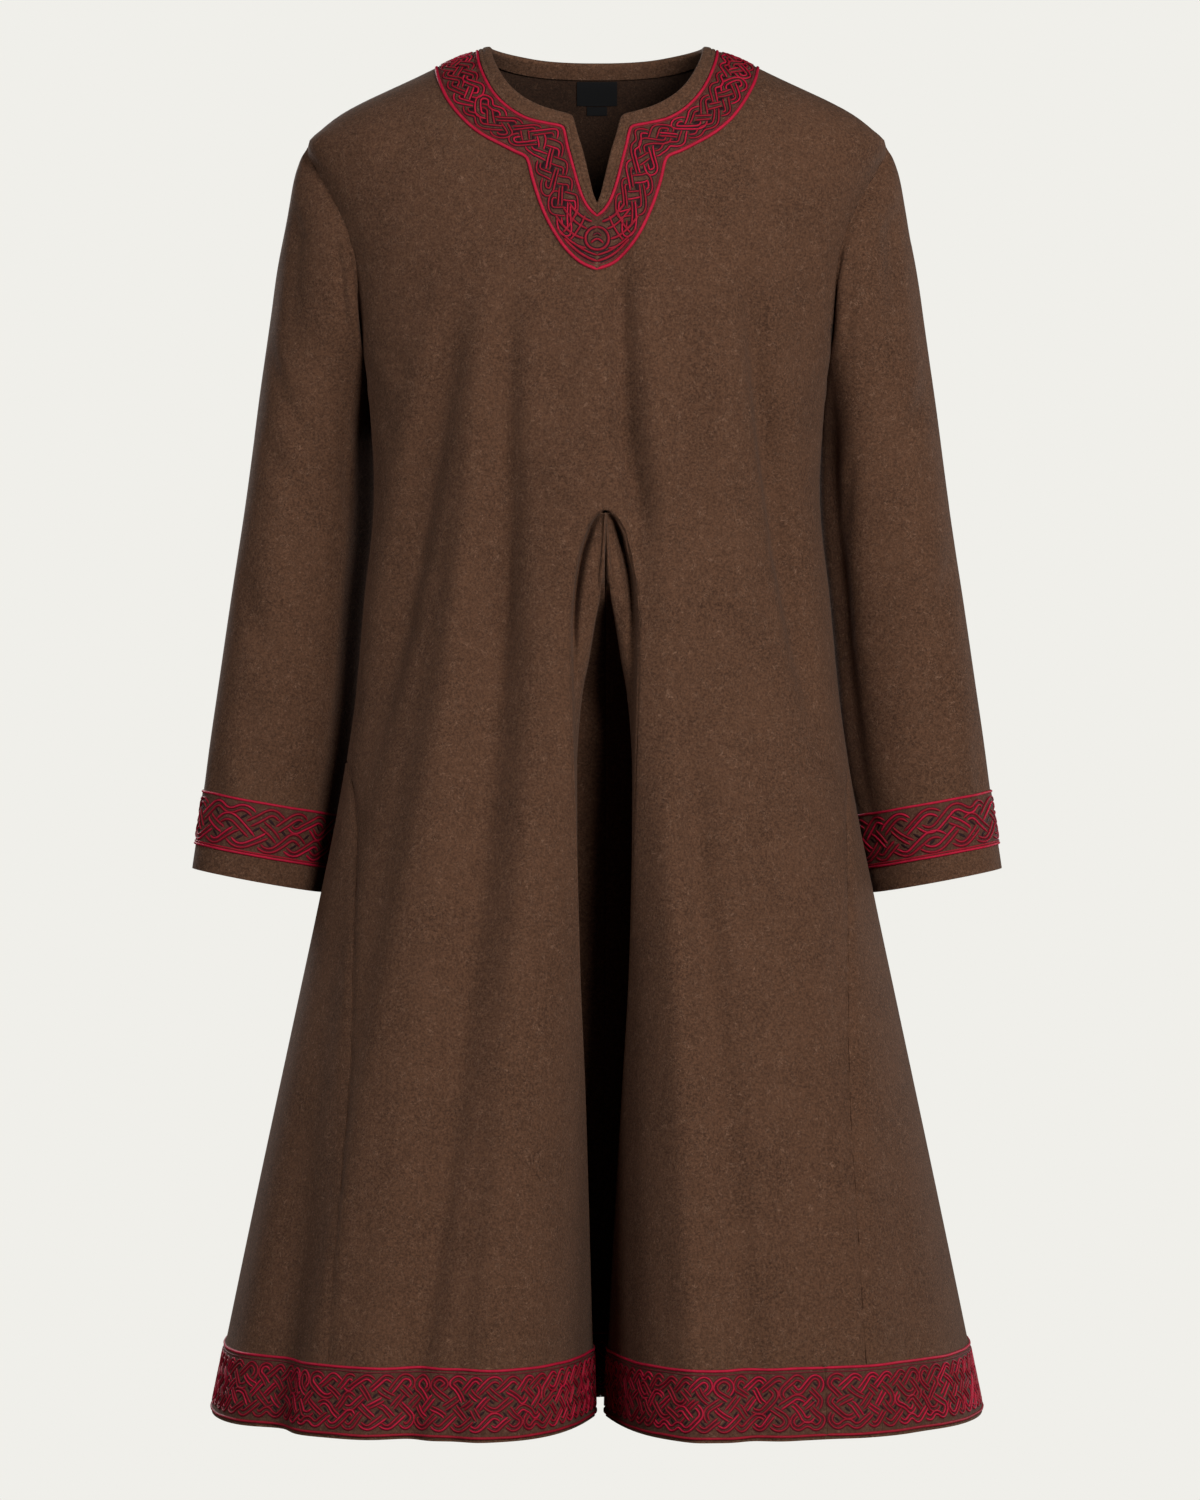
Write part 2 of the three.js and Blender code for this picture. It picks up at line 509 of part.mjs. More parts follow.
function panelSolid(face, left, right) {
  const faces = [left, right].flatMap((grid, i) => facesOf(trimmed(grid, face, i === 0 ? 1 : -1)));
  return wall(faces, -CLOTH, 0);
}

// ---------- gores ----------
// The front half gore under the pleat, from its apex to the hem.
function frontGoreGrid(side) {
  const grid = [];
  for (let row = APEX_ROW; row <= LAST_ROW; row += 1) {
    const { point: { z } } = panelCell(1, side, row, 0);
    const cells = [];
    for (let c = 0; c <= FRONT_GORE_COLUMNS; c += 1) {
      const share = c / FRONT_GORE_COLUMNS;
      let normal = row === APEX_ROW ? bodyNormal(0, z) : goreNormal(side, share, z);
      if (row > APEX_ROW && c === 0) normal = mitre(normal, pleatEdgeNormal(side, z));
      if (row > APEX_ROW && c === FRONT_GORE_COLUMNS) normal = mitre(normal, goreNormal(-side, 1, z));
      cells.push(cell(gorePoint(side, share, z), normal));
    }
    grid.push(side > 0 ? cells.reverse() : cells);
  }
  return grid;
}

// The side gore, from its point on the side seam to the hem.
function sideGoreGrid(side) {
  const grid = [];
  for (let row = SIDE_GORE_ROW; row <= LAST_ROW; row += 1) {
    const z = sideRows[row - NECK_ROWS];
    const cells = [];
    for (let c = 0; c <= SIDE_GORE_COLUMNS; c += 1) {
      const angle = side * mix(edgeAngle(z), Math.PI - edgeAngle(z), c / SIDE_GORE_COLUMNS);
      cells.push(cell(bodyPoint(angle, z), bodyNormal(angle, z)));
    }
    grid.push(side > 0 ? cells : cells.reverse());
  }
  return grid;
}

// Leaves half a seam's gap at both edges of a gore and lowers its point.
function trimmedGore(grid, pointDrop) {
  return grid.map((row, r) => {
    const cells = r > 0 ? [...row] : row.map((each, c) => pulled(each, grid[1][c], pointDrop));
    cells[0] = pulled(cells[0], cells[1], SEAM_GAP / 2);
    cells[row.length - 1] = pulled(cells.at(-1), cells.at(-2), SEAM_GAP / 2);
    return cells;
  });
}

const gores = {
  frontLeft: frontGoreGrid(1), frontRight: frontGoreGrid(-1),
  sideLeft: sideGoreGrid(1), sideRight: sideGoreGrid(-1),
};

// ---------- bands, binding and labels ----------
function neckBandSolid() {
  const faces = Object.values(half).flatMap((grid) => facesOf(grid.slice(1, NECK_ROWS)));
  return wall(faces, BAND_LIFT, BAND_LIFT + BAND_THICKNESS);
}

function cuffBandSolid(side) {
  const rings = closedRings(sleeveOf(side).slice(CUFF_BAND_ROW, CUFF_BAND_ROW + 2), side);
  return wall(facesOf(rings), BAND_LIFT, BAND_LIFT + BAND_THICKNESS);
}

// The hem band goes all round, into the pleat and out again, and its ends meet on the front.
function hemBandSolid() {
  const bandRows = (grid) => grid.slice(-2);
  const strips = [
    gores.frontLeft, gores.frontRight, half.frontRight, gores.sideRight, half.backRight,
    half.backLeft, gores.sideLeft,
  ].map(bandRows);
  const front = bandRows(half.frontLeft);
  const beforeJoint = front.map((row) => row.slice(0, HEM_BAND_JOINT + 1));
  const afterJoint = front.map((row) => row.slice(HEM_BAND_JOINT));
  for (const row of beforeJoint) row[row.length - 1] = pulled(row.at(-1), row.at(-2), SEAM_GAP / 2);
  for (const row of afterJoint) row[0] = pulled(row[0], row[1], SEAM_GAP / 2);
  const faces = [...strips, beforeJoint, afterJoint].flatMap(facesOf);
  return wall(faces, BAND_LIFT, BAND_LIFT + BAND_THICKNESS);
}

// The cells round the neck in order, from the middle of the front by the wearer's left side and back.
function neckStations(row) {
  return [
    ...half.frontLeft[row], ...half.backLeft[row].slice(1),
    ...half.backRight[row].slice(1), ...half.frontRight[row].slice(1, -1),
  ];
}

// The binding is folded over the neck edge: a profile carried round the neck. Along runs from the edge of
// the panel to the edge of the band; past is the cloth that turns over the edge.
const bindingProfile = [
  { along: 0.95, past: 0, out: BAND_LIFT },
  { along: 0.95, past: 0, out: BAND_LIFT + BINDING_THICKNESS },
  { along: 0, past: 0.8, out: BAND_LIFT + BINDING_THICKNESS },
  { along: 0, past: 1.6, out: BAND_LIFT },
  { along: 0, past: 1.6, out: -CLOTH - BAND_LIFT },
  { along: 0, past: 0.8, out: -CLOTH - BAND_LIFT - BINDING_THICKNESS },
  { along: 0.9, past: 0, out: -CLOTH - BAND_LIFT - BINDING_THICKNESS },
  { along: 0.9, past: 0, out: -CLOTH - BAND_LIFT },
  { along: 0, past: 0.35, out: -CLOTH - BAND_LIFT },
  { along: 0, past: 0.35, out: BAND_LIFT },
];

function bindingSolid() {
  const edge = neckStations(0);
  const bound = neckStations(1);
  const positions = [];
  edge.forEach((from, i) => {
    const to = bound[i];
    const along = to.point.clone().sub(from.point);
    const back = along.clone().normalize();
    for (const { along: share, past, out } of bindingProfile) {
      const normal = from.normal.clone().lerp(to.normal, share).normalize();
      const point = from.point.clone().addScaledVector(along, share).addScaledVector(back, -past);
      positions.push(...point.addScaledVector(normal, out));
    }
  });
  const index = [];
  const size = bindingProfile.length;
  for (let i = 0; i < edge.length; i += 1) {
    for (let j = 0; j < size; j += 1) {
      const next = ((i + 1) % edge.length) * size;
      const after = (j + 1) % size;
      const [a, b, c, d] = [i * size + j, i * size + after, next + after, next + j];
      const runsToBand = bindingProfile[after].along > bindingProfile[j].along;
      index.push(...(runsToBand ? [a, c, b, a, d, c] : [a, d, b, b, d, c]));
    }
  }
  return solidFrom(positions, index);
}

// A small patch inside the back of the neck, between two rows of the back and some columns each way.
function innerPatch(fromRow, toRow, from, to, columns) {
  const left = half.backLeft;
  const right = half.backRight;
  const middle = left[0].length - 1;
  const grid = [fromRow, toRow].map((row) => [
    ...left[row].slice(middle - columns, middle), ...right[row].slice(0, columns + 1),
  ]);
  const rows = [from, to].map((share) => grid[0].map((top, c) => {
    const bottom = grid[1][c];
    return cell(top.point.clone().lerp(bottom.point, share), top.normal.clone().lerp(bottom.normal, share));
  }));
  const out = -CLOTH - BAND_LIFT;
  return wall(facesOf(rows), out - LABEL_THICKNESS, out);
}

// ---------- the garment ----------
const materials = {
  wool: new THREE.MeshStandardMaterial({ color: 0x4d3928, roughness: 0.95, metalness: 0 }),
  band: new THREE.MeshStandardMaterial({ color: 0x6e1622, roughness: 0.7, metalness: 0 }),
  label: new THREE.MeshStandardMaterial({ color: 0x121212, roughness: 0.6, metalness: 0 }),
};

const group = new THREE.Group();
function add(name, geometry, material) {
  const mesh = new THREE.Mesh(geometry, material);
  mesh.name = name;
  group.add(mesh);
}

add('front', panelSolid(1, half.frontLeft, half.frontRight), materials.wool);
add('back', panelSolid(-1, half.backLeft, half.backRight), materials.wool);
for (const [name, side] of [['left', 1], ['right', -1]]) {
  const grid = sleeveOf(side);
  const rings = [grid[0].map((each, c) => pulled(each, grid[1][c], ARMHOLE_GAP)), ...grid.slice(1)];
  add(`sleeve_${name}`, wall(facesOf(closedRings(rings, side)), -CLOTH, 0), materials.wool);
  const frontGore = trimmedGore(side > 0 ? gores.frontLeft : gores.frontRight, GORE_POINT_DROP.front);
  add(`front_gore_${name}`, wall(facesOf(frontGore), -CLOTH, 0), materials.wool);
  const sideGore = trimmedGore(side > 0 ? gores.sideLeft : gores.sideRight, GORE_POINT_DROP.side);
  add(`side_gore_${name}`, wall(facesOf(sideGore), -CLOTH, 0), materials.wool);
  add(`cuff_band_${name}`, cuffBandSolid(side), materials.band);
}
add('neck_binding', bindingSolid(), materials.wool);
add('neck_band', neckBandSolid(), materials.band);
add('hem_band', hemBandSolid(), materials.band);
add('label', innerPatch(1, 2, 0.02, 0.96, 2), materials.label);
add('size_tab', innerPatch(2, 3, 0, 0.34, 1), materials.label);

export default group;
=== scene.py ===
"""Looks of a knee-length wool tunic with embroidered interlace bands, filled out with no wearer.

Sizes of the cut are in millimetres, as a maker writes them down, and every mesh is made in metres.
"""
import logging
import math
from dataclasses import dataclass, field
from enum import Enum
from typing import Callable, Iterable, Sequence

import bpy
import numpy as np
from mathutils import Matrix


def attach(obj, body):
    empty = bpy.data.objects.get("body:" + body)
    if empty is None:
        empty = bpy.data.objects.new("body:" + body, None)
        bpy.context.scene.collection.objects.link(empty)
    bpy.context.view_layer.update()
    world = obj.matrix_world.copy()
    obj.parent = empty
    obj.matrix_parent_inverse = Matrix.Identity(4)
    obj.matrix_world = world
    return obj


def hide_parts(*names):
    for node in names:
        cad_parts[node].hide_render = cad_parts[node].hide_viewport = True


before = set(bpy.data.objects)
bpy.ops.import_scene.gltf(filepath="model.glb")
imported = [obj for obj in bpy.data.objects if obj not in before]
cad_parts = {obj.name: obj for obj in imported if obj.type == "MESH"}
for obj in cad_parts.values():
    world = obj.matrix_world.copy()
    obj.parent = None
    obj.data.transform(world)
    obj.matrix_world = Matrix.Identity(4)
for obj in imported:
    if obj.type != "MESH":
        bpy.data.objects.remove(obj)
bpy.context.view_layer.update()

LOG = logging.getLogger("tunic")
MM = 0.001
BODY = "root"
Array = np.ndarray


# ---------------------------------------------------------------- reading the cutting tables

def ease(t: Array | float) -> Array:
    """Ramp smoothly from 0 to 1 as t goes from 0 to 1."""
    t = np.clip(t, 0.0, 1.0)
    return t * t * (3.0 - 2.0 * t)


def below(z: Array, top: float, over: float) -> Array:
    """Ramp smoothly from 0 at a height to 1 at some way below it."""
    return ease((top - z) / over)


def mix(a: Array | float, b: Array | float, t: Array | float) -> Array:
    """Blend a into b by the share t."""
    return a + (b - a) * t


def unit(vectors: Array) -> Array:
    """Scale vectors to length one."""
    return vectors / np.maximum(np.linalg.norm(vectors, axis=-1, keepdims=True), 1e-12)


class Table:
    """Rows of named sizes, read on a smooth curve that never overshoots its rows."""

    def __init__(self, columns: str, *rows: Sequence[float]) -> None:
        """Take the rows in order of their first column.

        Args:
            columns: the names of the columns, the first of which is looked up.
            rows: one sequence of sizes for each row.
        """
        values = np.array(rows, dtype=float)
        if values[0, 0] > values[-1, 0]:
            values = values[::-1]
        self.keys = values[:, 0]
        self.columns = dict(zip(columns.split(), values.T))
        self.tangents = {name: self._tangents(column) for name, column in self.columns.items()}

    def _tangents(self, column: Array) -> Array:
        """Slope of the curve at each row."""
        slope = np.diff(column) / np.diff(self.keys)
        before, after = slope[:-1], slope[1:]
        same_way = before * after > 0
        inner = np.where(same_way, 2 * before * after / np.where(same_way, before + after, 1.0), 0.0)
        return np.concatenate([slope[:1], inner, slope[-1:]])

    def at(self, name: str, where: Array | float) -> Array:
        """Read a column.

        Args:
            name: the column.
            where: values of the first column.

        Returns:
            The column's value at each of them.
        """
        where = np.asarray(where, dtype=float)
        i = np.clip(np.searchsorted(self.keys, where) - 1, 0, len(self.keys) - 2)
        step = self.keys[i + 1] - self.keys[i]
        t = np.clip((where - self.keys[i]) / step, 0.0, 1.0)
        low, high = self.columns[name][i], self.columns[name][i + 1]
        start, end = self.tangents[name][i] * step, self.tangents[name][i + 1] * step
        rise = high - low
        return low + t * (start + t * (3 * rise - 2 * start - end + t * (start + end - 2 * rise)))


HEM_Z = -1111.0
SHOULDER_Z = -41.7
UNDERARM_Z = -215.0
GORE_APEX_Z = -356.0
SIDE_GORE_TOP_Z = -560.0
LEVEL_Z = -565.0
HEM_BAND_TOP_Z = -1053.0
ARMHOLE_BITE = 21.0
SPREAD_BY_Z = -760.0
APEX_SIDE_Z = -262.0

SILHOUETTE = Table(
    "z half_width",
    (42.8, 90.5), (39.9, 98), (34.9, 115.5), (24.4, 137.5), (14.4, 158), (4.2, 180), (-6, 201.6),
    (-16.2, 220), (-26.4, 233.5), (SHOULDER_Z, 248), (-78, 237), (-130, 220), (-172, 208),
    (UNDERARM_Z, 200), (-256, 195.5), (-341, 190), (-427, 198), (-512, 206), (-597, 219),
    (-682, 236), (-767, 254), (-937, 290), (HEM_Z, 326),
)
DEPTHS = Table(
    "z front back square",
    (42.8, 40, 42, 2.1), (36.8, 48, 50, 2.1), (23, 61, 58, 2.1), (0, 77, 72, 2.1), (-42, 95, 92, 2.1),
    (-100, 108, 106, 2.15), (UNDERARM_Z, 119, 112, 2.2), (-341, 121, 106, 2.2), (-450, 129, 113, 2.2),
    (-600, 153, 132, 2.3), (-760, 182, 153, 2.35), (-930, 213, 177, 2.4), (HEM_Z, 246, 202, 2.4),
)
PLEAT = Table(
    "z half_gap roll_in roll_width depth belly",
    (GORE_APEX_Z, 0, 0, 20, 0, 0), (-363, 9.5, 0.6, 20, 3, 0.5), (-375, 16, 1, 20, 6, 1),
    (-395, 21.5, 2, 20, 12, 2), (-420, 25.5, 4, 20, 22, 3), (-450, 27.5, 7, 20, 50, 6),
    (-520, 26.5, 15, 21, 104, 13), (-620, 23.2, 34, 23, 116, 16), (-742, 20, 66, 26, 118, 15),
    (-836, 15.3, 93, 28, 118, 13), (-997, 8.5, 140, 30, 118, 12), (HEM_Z, 4.5, 178, 31, 116, 12),
)
SIDE_GORE_SEAM = Table(
    "z across",
    (SIDE_GORE_TOP_Z, 213.5), (-620, 211), (-800, 210), (-961, 216), (HEM_Z, 222),
)
SLEEVE = Table(
    "row outer_x outer_z inner_x inner_z half_depth behind",
    (0, 248, SHOULDER_Z, 200, UNDERARM_Z, 42, 0), (1, 257, -66, 198, -226, 48, 4),
    (2, 262.5, -92, 194, -241, 53, 11), (3, 269, -130, 191, -263, 56, 19),
    (4, 276.5, -182, 190, -294, 58, 27), (5, 285, -240, 189, -330, 59, 30),
    (6, 294, -300, 191, -372, 59, 31), (7, 304, -365, 197, -420, 58, 31),
    (8, 314, -430, 202, -471, 57, 31), (9, 323.5, -495, 207.6, -526, 55, 31),
    (10, 331.5, -550, 214.4, -576, 53, 31), (11, 336.5, -588, 222, -609, 52, 31),
    (12, 343.5, -634.5, 231, -655.5, 51, 31), (13, 346.5, -655, 235, -676, 51, 31),
)
FRONT_NECK = Table(
    "station edge_x edge_z bound_x bound_z outer_x outer_z",
    (0, 0, -102.5, 0, -110.5, 0, -158.5), (1, 3.4, -94.5, 6.2, -104.5, 12, -153.5),
    (2, 5.9, -85, 10.8, -96.5, 26, -141.5), (3, 9, -71.5, 15, -84, 39, -122),
    (4, 12.4, -57.5, 19, -69, 48.2, -101), (5, 16.9, -42.5, 23, -53, 54.2, -82),
    (6, 21.8, -27, 27.5, -35.5, 59.2, -63.5), (7, 34, -23, 40.2, -32.5, 70.4, -57.5),
    (8, 48.4, -18, 55, -29, 82.2, -51), (9, 62.6, -9.8, 69.8, -21, 98.4, -41.5),
    (10, 75.2, 2.4, 83, -8, 114.8, -26.5), (11, 84.6, 18.8, 93.4, 10.5, 128, -6.4),
    (12, 89.4, 31, 98.2, 25.5, 135, 11.5), (13, 91.5, 42.4, 100.5, 39.2, 137.5, 24.4),
)
BACK_NECK = Table(
    "station edge_x edge_z bound_x bound_z outer_x outer_z",
    (0, 0, 35.2, 0, 22.8, 0, -18), (1, 8.2, 35.2, 8.7, 22.8, 8.7, -17.8),
    (2, 16.4, 35.3, 17.4, 22.9, 17.4, -17.2), (3, 28, 35.6, 30, 23.3, 33, -16),
    (4, 40, 36.2, 43.5, 24, 50, -13.6), (5, 52, 37.2, 57, 25.3, 69, -12.6),
    (6, 64, 38.6, 70.5, 27.4, 88, -7.4), (7, 75, 40, 82.5, 30.5, 106, 0.6),
    (8, 84, 41.3, 92.5, 34.6, 122.5, 11), (9, 91.5, 42.4, 100.5, 39.2, 137.5, 24.4),
)


class Face(Enum):
    """The front or the back of the tunic; the value says which way it looks along Y."""

    FRONT = 1
    BACK = -1


class Side(Enum):
    """The wearer's left (+X) or right (-X)."""

    LEFT = 1
    RIGHT = -1


SIDE_NAMES = {Side.LEFT: "left", Side.RIGHT: "right"}


@dataclass(frozen=True)
class Fold:
    """A soft trough down the body; a negative depth is a ridge.

    It runs through three places across the body (top, middle, end) between two heights.
    """

    face: Face
    z_top: float
    z_end: float
    top: float
    middle: float
    end: float
    width: float
    depth: float
    to_hem: bool = False

    FADE = 0.35

    def at(self, x: Array, z: Array) -> Array:
        """Depth of the trough at places (x, z)."""
        t = (z - self.z_top) / (self.z_end - self.z_top)
        fade = ease(t / self.FADE)
        if not self.to_hem:
            fade = fade * ease((1 - t) / self.FADE)
        t = np.clip(t, 0, 1)
        path = (1 - t) ** 2 * self.top + 2 * t * (1 - t) * self.middle + t * t * self.end
        return self.depth * fade * np.exp(-(((x - path) / self.width) ** 2))


def folds(face: Face, *rows: Sequence[float]) -> tuple[Fold, ...]:
    """Folds of one face, each from a row of its sizes: z_top, z_end, top, middle, end, width, depth."""
    return tuple(Fold(face, *row) for row in rows)


MAIN_FOLDS = folds(
    Face.FRONT,
    (-120, -320, -143, -156, -176, 22, 6), (-200, HEM_Z, -104, -187, -262, 30, 15, True),
    (-240, HEM_Z, -54, -79, -118, 27, 12, True), (-235, -470, 147, 160, 176, 20, 6),
    (-560, HEM_Z, 138, 152, 172, 26, 7, True), (-240, -400, 27, 29, 38, 17, 4),
) + folds(
    Face.BACK,
    (-170, HEM_Z, -92, -118, -150, 34, 15, True), (-300, HEM_Z, -18, -28, -42, 32, 17, True),
    (-230, HEM_Z, 64, 82, 98, 31, 16, True), (-200, HEM_Z, 138, 160, 205, 30, 13, True),
)
SOFT_FOLDS = folds(
    Face.FRONT,
    (-120, -620, -102, -156, -212, 15, 14), (-140, -560, -134, -168, -208, 13, -6),
    (-160, -520, -90, -106, -134, 14, -5), (-190, HEM_Z, -118, -240, -276, 17, 21, True),
    (-300, HEM_Z, -96, -168, -246, 18, -7, True), (-120, -560, -70, -78, -96, 12, 8.5),
    (-200, HEM_Z, -74, -96, -160, 19, 21, True), (-300, HEM_Z, -46, -64, -100, 17, -6, True),
    (-80, -440, 17, 22, 32, 12, 13), (-160, -560, 46, 52, 62, 17, -5),
    (-420, HEM_Z, 62, 100, 130, 17, 12, True), (-480, HEM_Z, 48, 58, 76, 15, -6, True),
    (-110, -590, 122, 150, 192, 10, 21), (-160, -520, 96, 108, 130, 16, -5),
    (-60, -300, 176, 168, 178, 14, 4), (-110, -330, -26, -30, -34, 16, 3.0),
    (-120, -420, 64, 72, 84, 14, 3.5), (-100, -300, 100, 104, 110, 14, -2.5),
    (-620, -980, 196, 206, 214, 12, 4.0), (-760, HEM_Z, 172, 184, 198, 18, 4.0, True),
    (-820, HEM_Z, 236, 250, 272, 18, 5.0, True),
) + folds(
    Face.BACK,
    (-60, -330, -170, -160, -168, 20, 5), (-70, -320, 172, 160, 172, 20, 4.6),
    (-120, -420, 6, 14, 18, 22, 4.4), (-160, HEM_Z, -96, -124, -164, 18, 8, True),
    (-260, HEM_Z, 60, 86, 108, 18, 8, True), (-420, -980, 28, 36, 40, 18, -3.6),
    (-500, HEM_Z, -196, -218, -252, 20, 5.0, True), (-640, HEM_Z, 226, 240, 268, 20, 4.6, True),
)


# ---------------------------------------------------------------- the form of the garment

class BodyForm:
    """The outer surface of the body, without its sleeves.

    A place on it is a height and an angle: 0 is the middle of the front, a quarter turn is the
    wearer's left side and half a turn is the middle of the back.
    """

    LEAN = 7.0
    LEAN_REACH = 75.0
    LEAN_LOST_BELOW = 0.6

    def __init__(self, own_folds: Sequence[Fold]) -> None:
        """Keep the folds that lie in the surface."""
        self.folds = own_folds

    def point(self, angle: Array, z: Array) -> Array:
        """Places of the surface.

        Args:
            angle: the angles round the body.
            z: the heights.

        Returns:
            One point for each place, in millimetres.
        """
        angle, z = np.broadcast_arrays(np.asarray(angle, float), np.asarray(z, float))
        width = SILHOUETTE.at("half_width", z)
        power = 2 / DEPTHS.at("square", z)
        cosine, sine = np.cos(angle), np.sin(angle)
        is_front = cosine >= 0
        depth = np.where(is_front, DEPTHS.at("front", z), DEPTHS.at("back", z))
        x = width * np.sign(sine) * np.abs(sine) ** power
        y = -depth * np.sign(cosine) * np.abs(cosine) ** power
        outward = unit(np.stack([x / width ** 2, y / depth ** 2, np.zeros_like(z)], axis=-1))
        fold = np.zeros_like(z)
        for each in self.folds:
            fold += np.where(is_front == (each.face is Face.FRONT), each.at(x, z), 0.0)
        point = np.stack([x, y, z], axis=-1) - outward * (fold * np.abs(cosine))[..., None]
        from_edge = np.maximum(0, np.abs(x) - PLEAT.at("half_gap", z))
        roll = PLEAT.at("roll_in", z) * np.exp(-from_edge / PLEAT.at("roll_width", z))
        point[..., 1] += np.where(is_front & (z < GORE_APEX_Z), roll, 0.0)
        point[..., 0] += np.where(is_front, self.lean(z) * np.exp(-((x / self.LEAN_REACH) ** 2)), 0.0)
        return point

    def lean(self, z: Array) -> Array:
        """How far the pleat hangs to the wearer's left of the middle."""
        return self.LEAN * below(z, -290, 60) * (1 - self.LEAN_LOST_BELOW * below(z, -700, 400))

    def normal(self, angle: Array, z: Array) -> Array:
        """Directions out of the garment at places of the surface."""
        return surface_normal(self.point, angle, z, 0.004, 0.5)


def surface_normal(surface: Callable[[Array, Array], Array], u: Array, v: Array,
                   du: float, dv: float) -> Array:
    """Direction square to a surface at (u, v), from small steps along both."""
    along_u = surface(u + du, v) - surface(u - du, v)
    along_v = surface(u, v + dv) - surface(u, v - dv)
    return unit(np.cross(along_u, along_v))


def angle_across(across: Array, z: Array) -> Array:
    """Angle at which the front of the body is a distance across from the middle."""
    share = np.clip(across / SILHOUETTE.at("half_width", z), 0, 1)
    return np.arcsin(share ** (DEPTHS.at("square", z) / 2))


def edge_angle(z: Array) -> Array:
    """Where the front ends: shoulder seam, armhole, side seam, then the seam of the side gore."""
    z = np.asarray(z, float)
    down = np.clip((SHOULDER_Z - z) / (SHOULDER_Z - UNDERARM_Z), 0, 1)
    armhole = np.radians(90 - ARMHOLE_BITE * np.sin(np.pi * down) ** 0.8)
    gore = angle_across(SIDE_GORE_SEAM.at("across", z), z)
    return np.where((z < SHOULDER_Z) & (z > UNDERARM_Z), armhole,
                    np.where(z < SIDE_GORE_TOP_Z, gore, np.pi / 2))


def shoulder_height(across: Array) -> Array:
    """Height of the shoulder seam at a distance from the middle."""
    heights = np.linspace(SHOULDER_Z, SILHOUETTE.keys[-1], 400)
    widths = SILHOUETTE.at("half_width", heights)
    return np.interp(across, widths[::-1], heights[::-1])


# ---------------------------------------------------------------- grids of cloth

@dataclass
class Grid:
    """A patch of a surface: rows of points and of directions out of it.

    Rows go down and columns go to the right of someone who looks at the patch from outside.
    """

    points: Array
    normals: Array

    def mirrored(self) -> "Grid":
        """The same patch with its columns in the other order."""
        return Grid(self.points[:, ::-1], self.normals[:, ::-1])

    def sunk(self, edge: str, depth: Array, width: float, gap: Array | float = 0.15,
             shared: Array | None = None) -> "Grid":
        """Draw the cloth in along a seam, as stitches do.

        Args:
            edge: left, right, top or bottom.
            depth: how far the cloth is drawn in at each place of the seam, in millimetres.
            width: how far from the seam that shows.
            gap: half the gap of the seam.
            shared: directions that both sides of the seam are drawn in along, or zeros for their own.

        Returns:
            The drawn-in patch.
        """
        points, directions = self.points.copy(), self.normals.copy()
        upright = edge in ("left", "right")
        view = points if upright else points.swapaxes(0, 1)
        normals = directions if upright else directions.swapaxes(0, 1)
        if edge in ("right", "bottom"):
            view, normals = view[:, ::-1], normals[:, ::-1]
        if shared is not None:
            reach = 7
            blend = np.linspace(1, 0, reach + 1)[:-1]
            has = np.linalg.norm(shared, axis=-1, keepdims=True)[:, None]
            share = has * blend[None, :, None]
            normals[:, :reach] = unit(mix(normals[:, :reach], shared[:, None], share))
        steps = np.linalg.norm(np.diff(view, axis=1), axis=-1)
        away = np.concatenate([np.zeros_like(steps[:, :1]), np.cumsum(steps, axis=1)], axis=1)
        down = np.concatenate([[0], np.cumsum(np.linalg.norm(np.diff(view[:, 0], axis=0), axis=-1))])
        pucker = 1 + 0.22 * np.sin(down / 3.1 + np.sin(down / 19.0) * 2) + 0.16 * np.sin(down / 7.7)
        sunk = (depth * pucker)[:, None] * np.exp(-((away / width) ** 2))
        view -= normals * sunk[..., None]
        view[:, 0] += unit(view[:, 1] - view[:, 0]) * np.broadcast_to(gap, len(view))[:, None]
        return Grid(points, directions)


@dataclass
class Mesh:
    """Vertices and faces that become one object."""

    vertices: list[Array] = field(default_factory=list)
    faces: list[Array] = field(default_factory=list)
    count: int = 0

    def add(self, vertices: Array, faces: Array) -> None:
        """Add a piece, with faces that count from its own first vertex."""
        self.vertices.append(vertices.reshape(-1, 3))
        self.faces.append(faces + self.count)
        self.count += len(self.vertices[-1])


def quads(rows: int, columns: int) -> Array:
    """Faces of a grid of vertices.

    Args:
        rows: rows of vertices.
        columns: columns of vertices.

    Returns:
        Four vertex numbers for each face, facing the viewer of the patch.
    """
    r = np.arange(rows - 1)[:, None]
    c = np.arange(columns - 1)[None, :]
    corner = r * columns + c
    return np.stack([corner, corner + columns, corner + columns + 1, corner + 1], axis=-1).reshape(-1, 4)


PLACES_A_MM = 200
SHARPEST_TURN = 0.55


def merged(points: Array, normals: Array, faces: Array) -> tuple[Array, Array, Array]:
    """Join vertices that lie in one place, and average their directions.

    Where the directions part, the average is made longer, so that the wall keeps its thickness.
    """
    keys = np.round(points * PLACES_A_MM).astype(np.int64)
    _, first, place = np.unique(keys, axis=0, return_index=True, return_inverse=True)
    place = place.reshape(-1)
    total = np.zeros((len(first), 3))
    np.add.at(total, place, normals)
    nearest = np.ones(len(first))
    direction = unit(total)
    lengths = np.linalg.norm(normals, axis=-1)
    np.minimum.at(nearest, place, (normals * direction[place]).sum(-1) / lengths)
    longest = np.zeros(len(first))
    np.maximum.at(longest, place, lengths)
    return points[first], direction * (longest / np.maximum(nearest, SHARPEST_TURN))[:, None], place[faces]


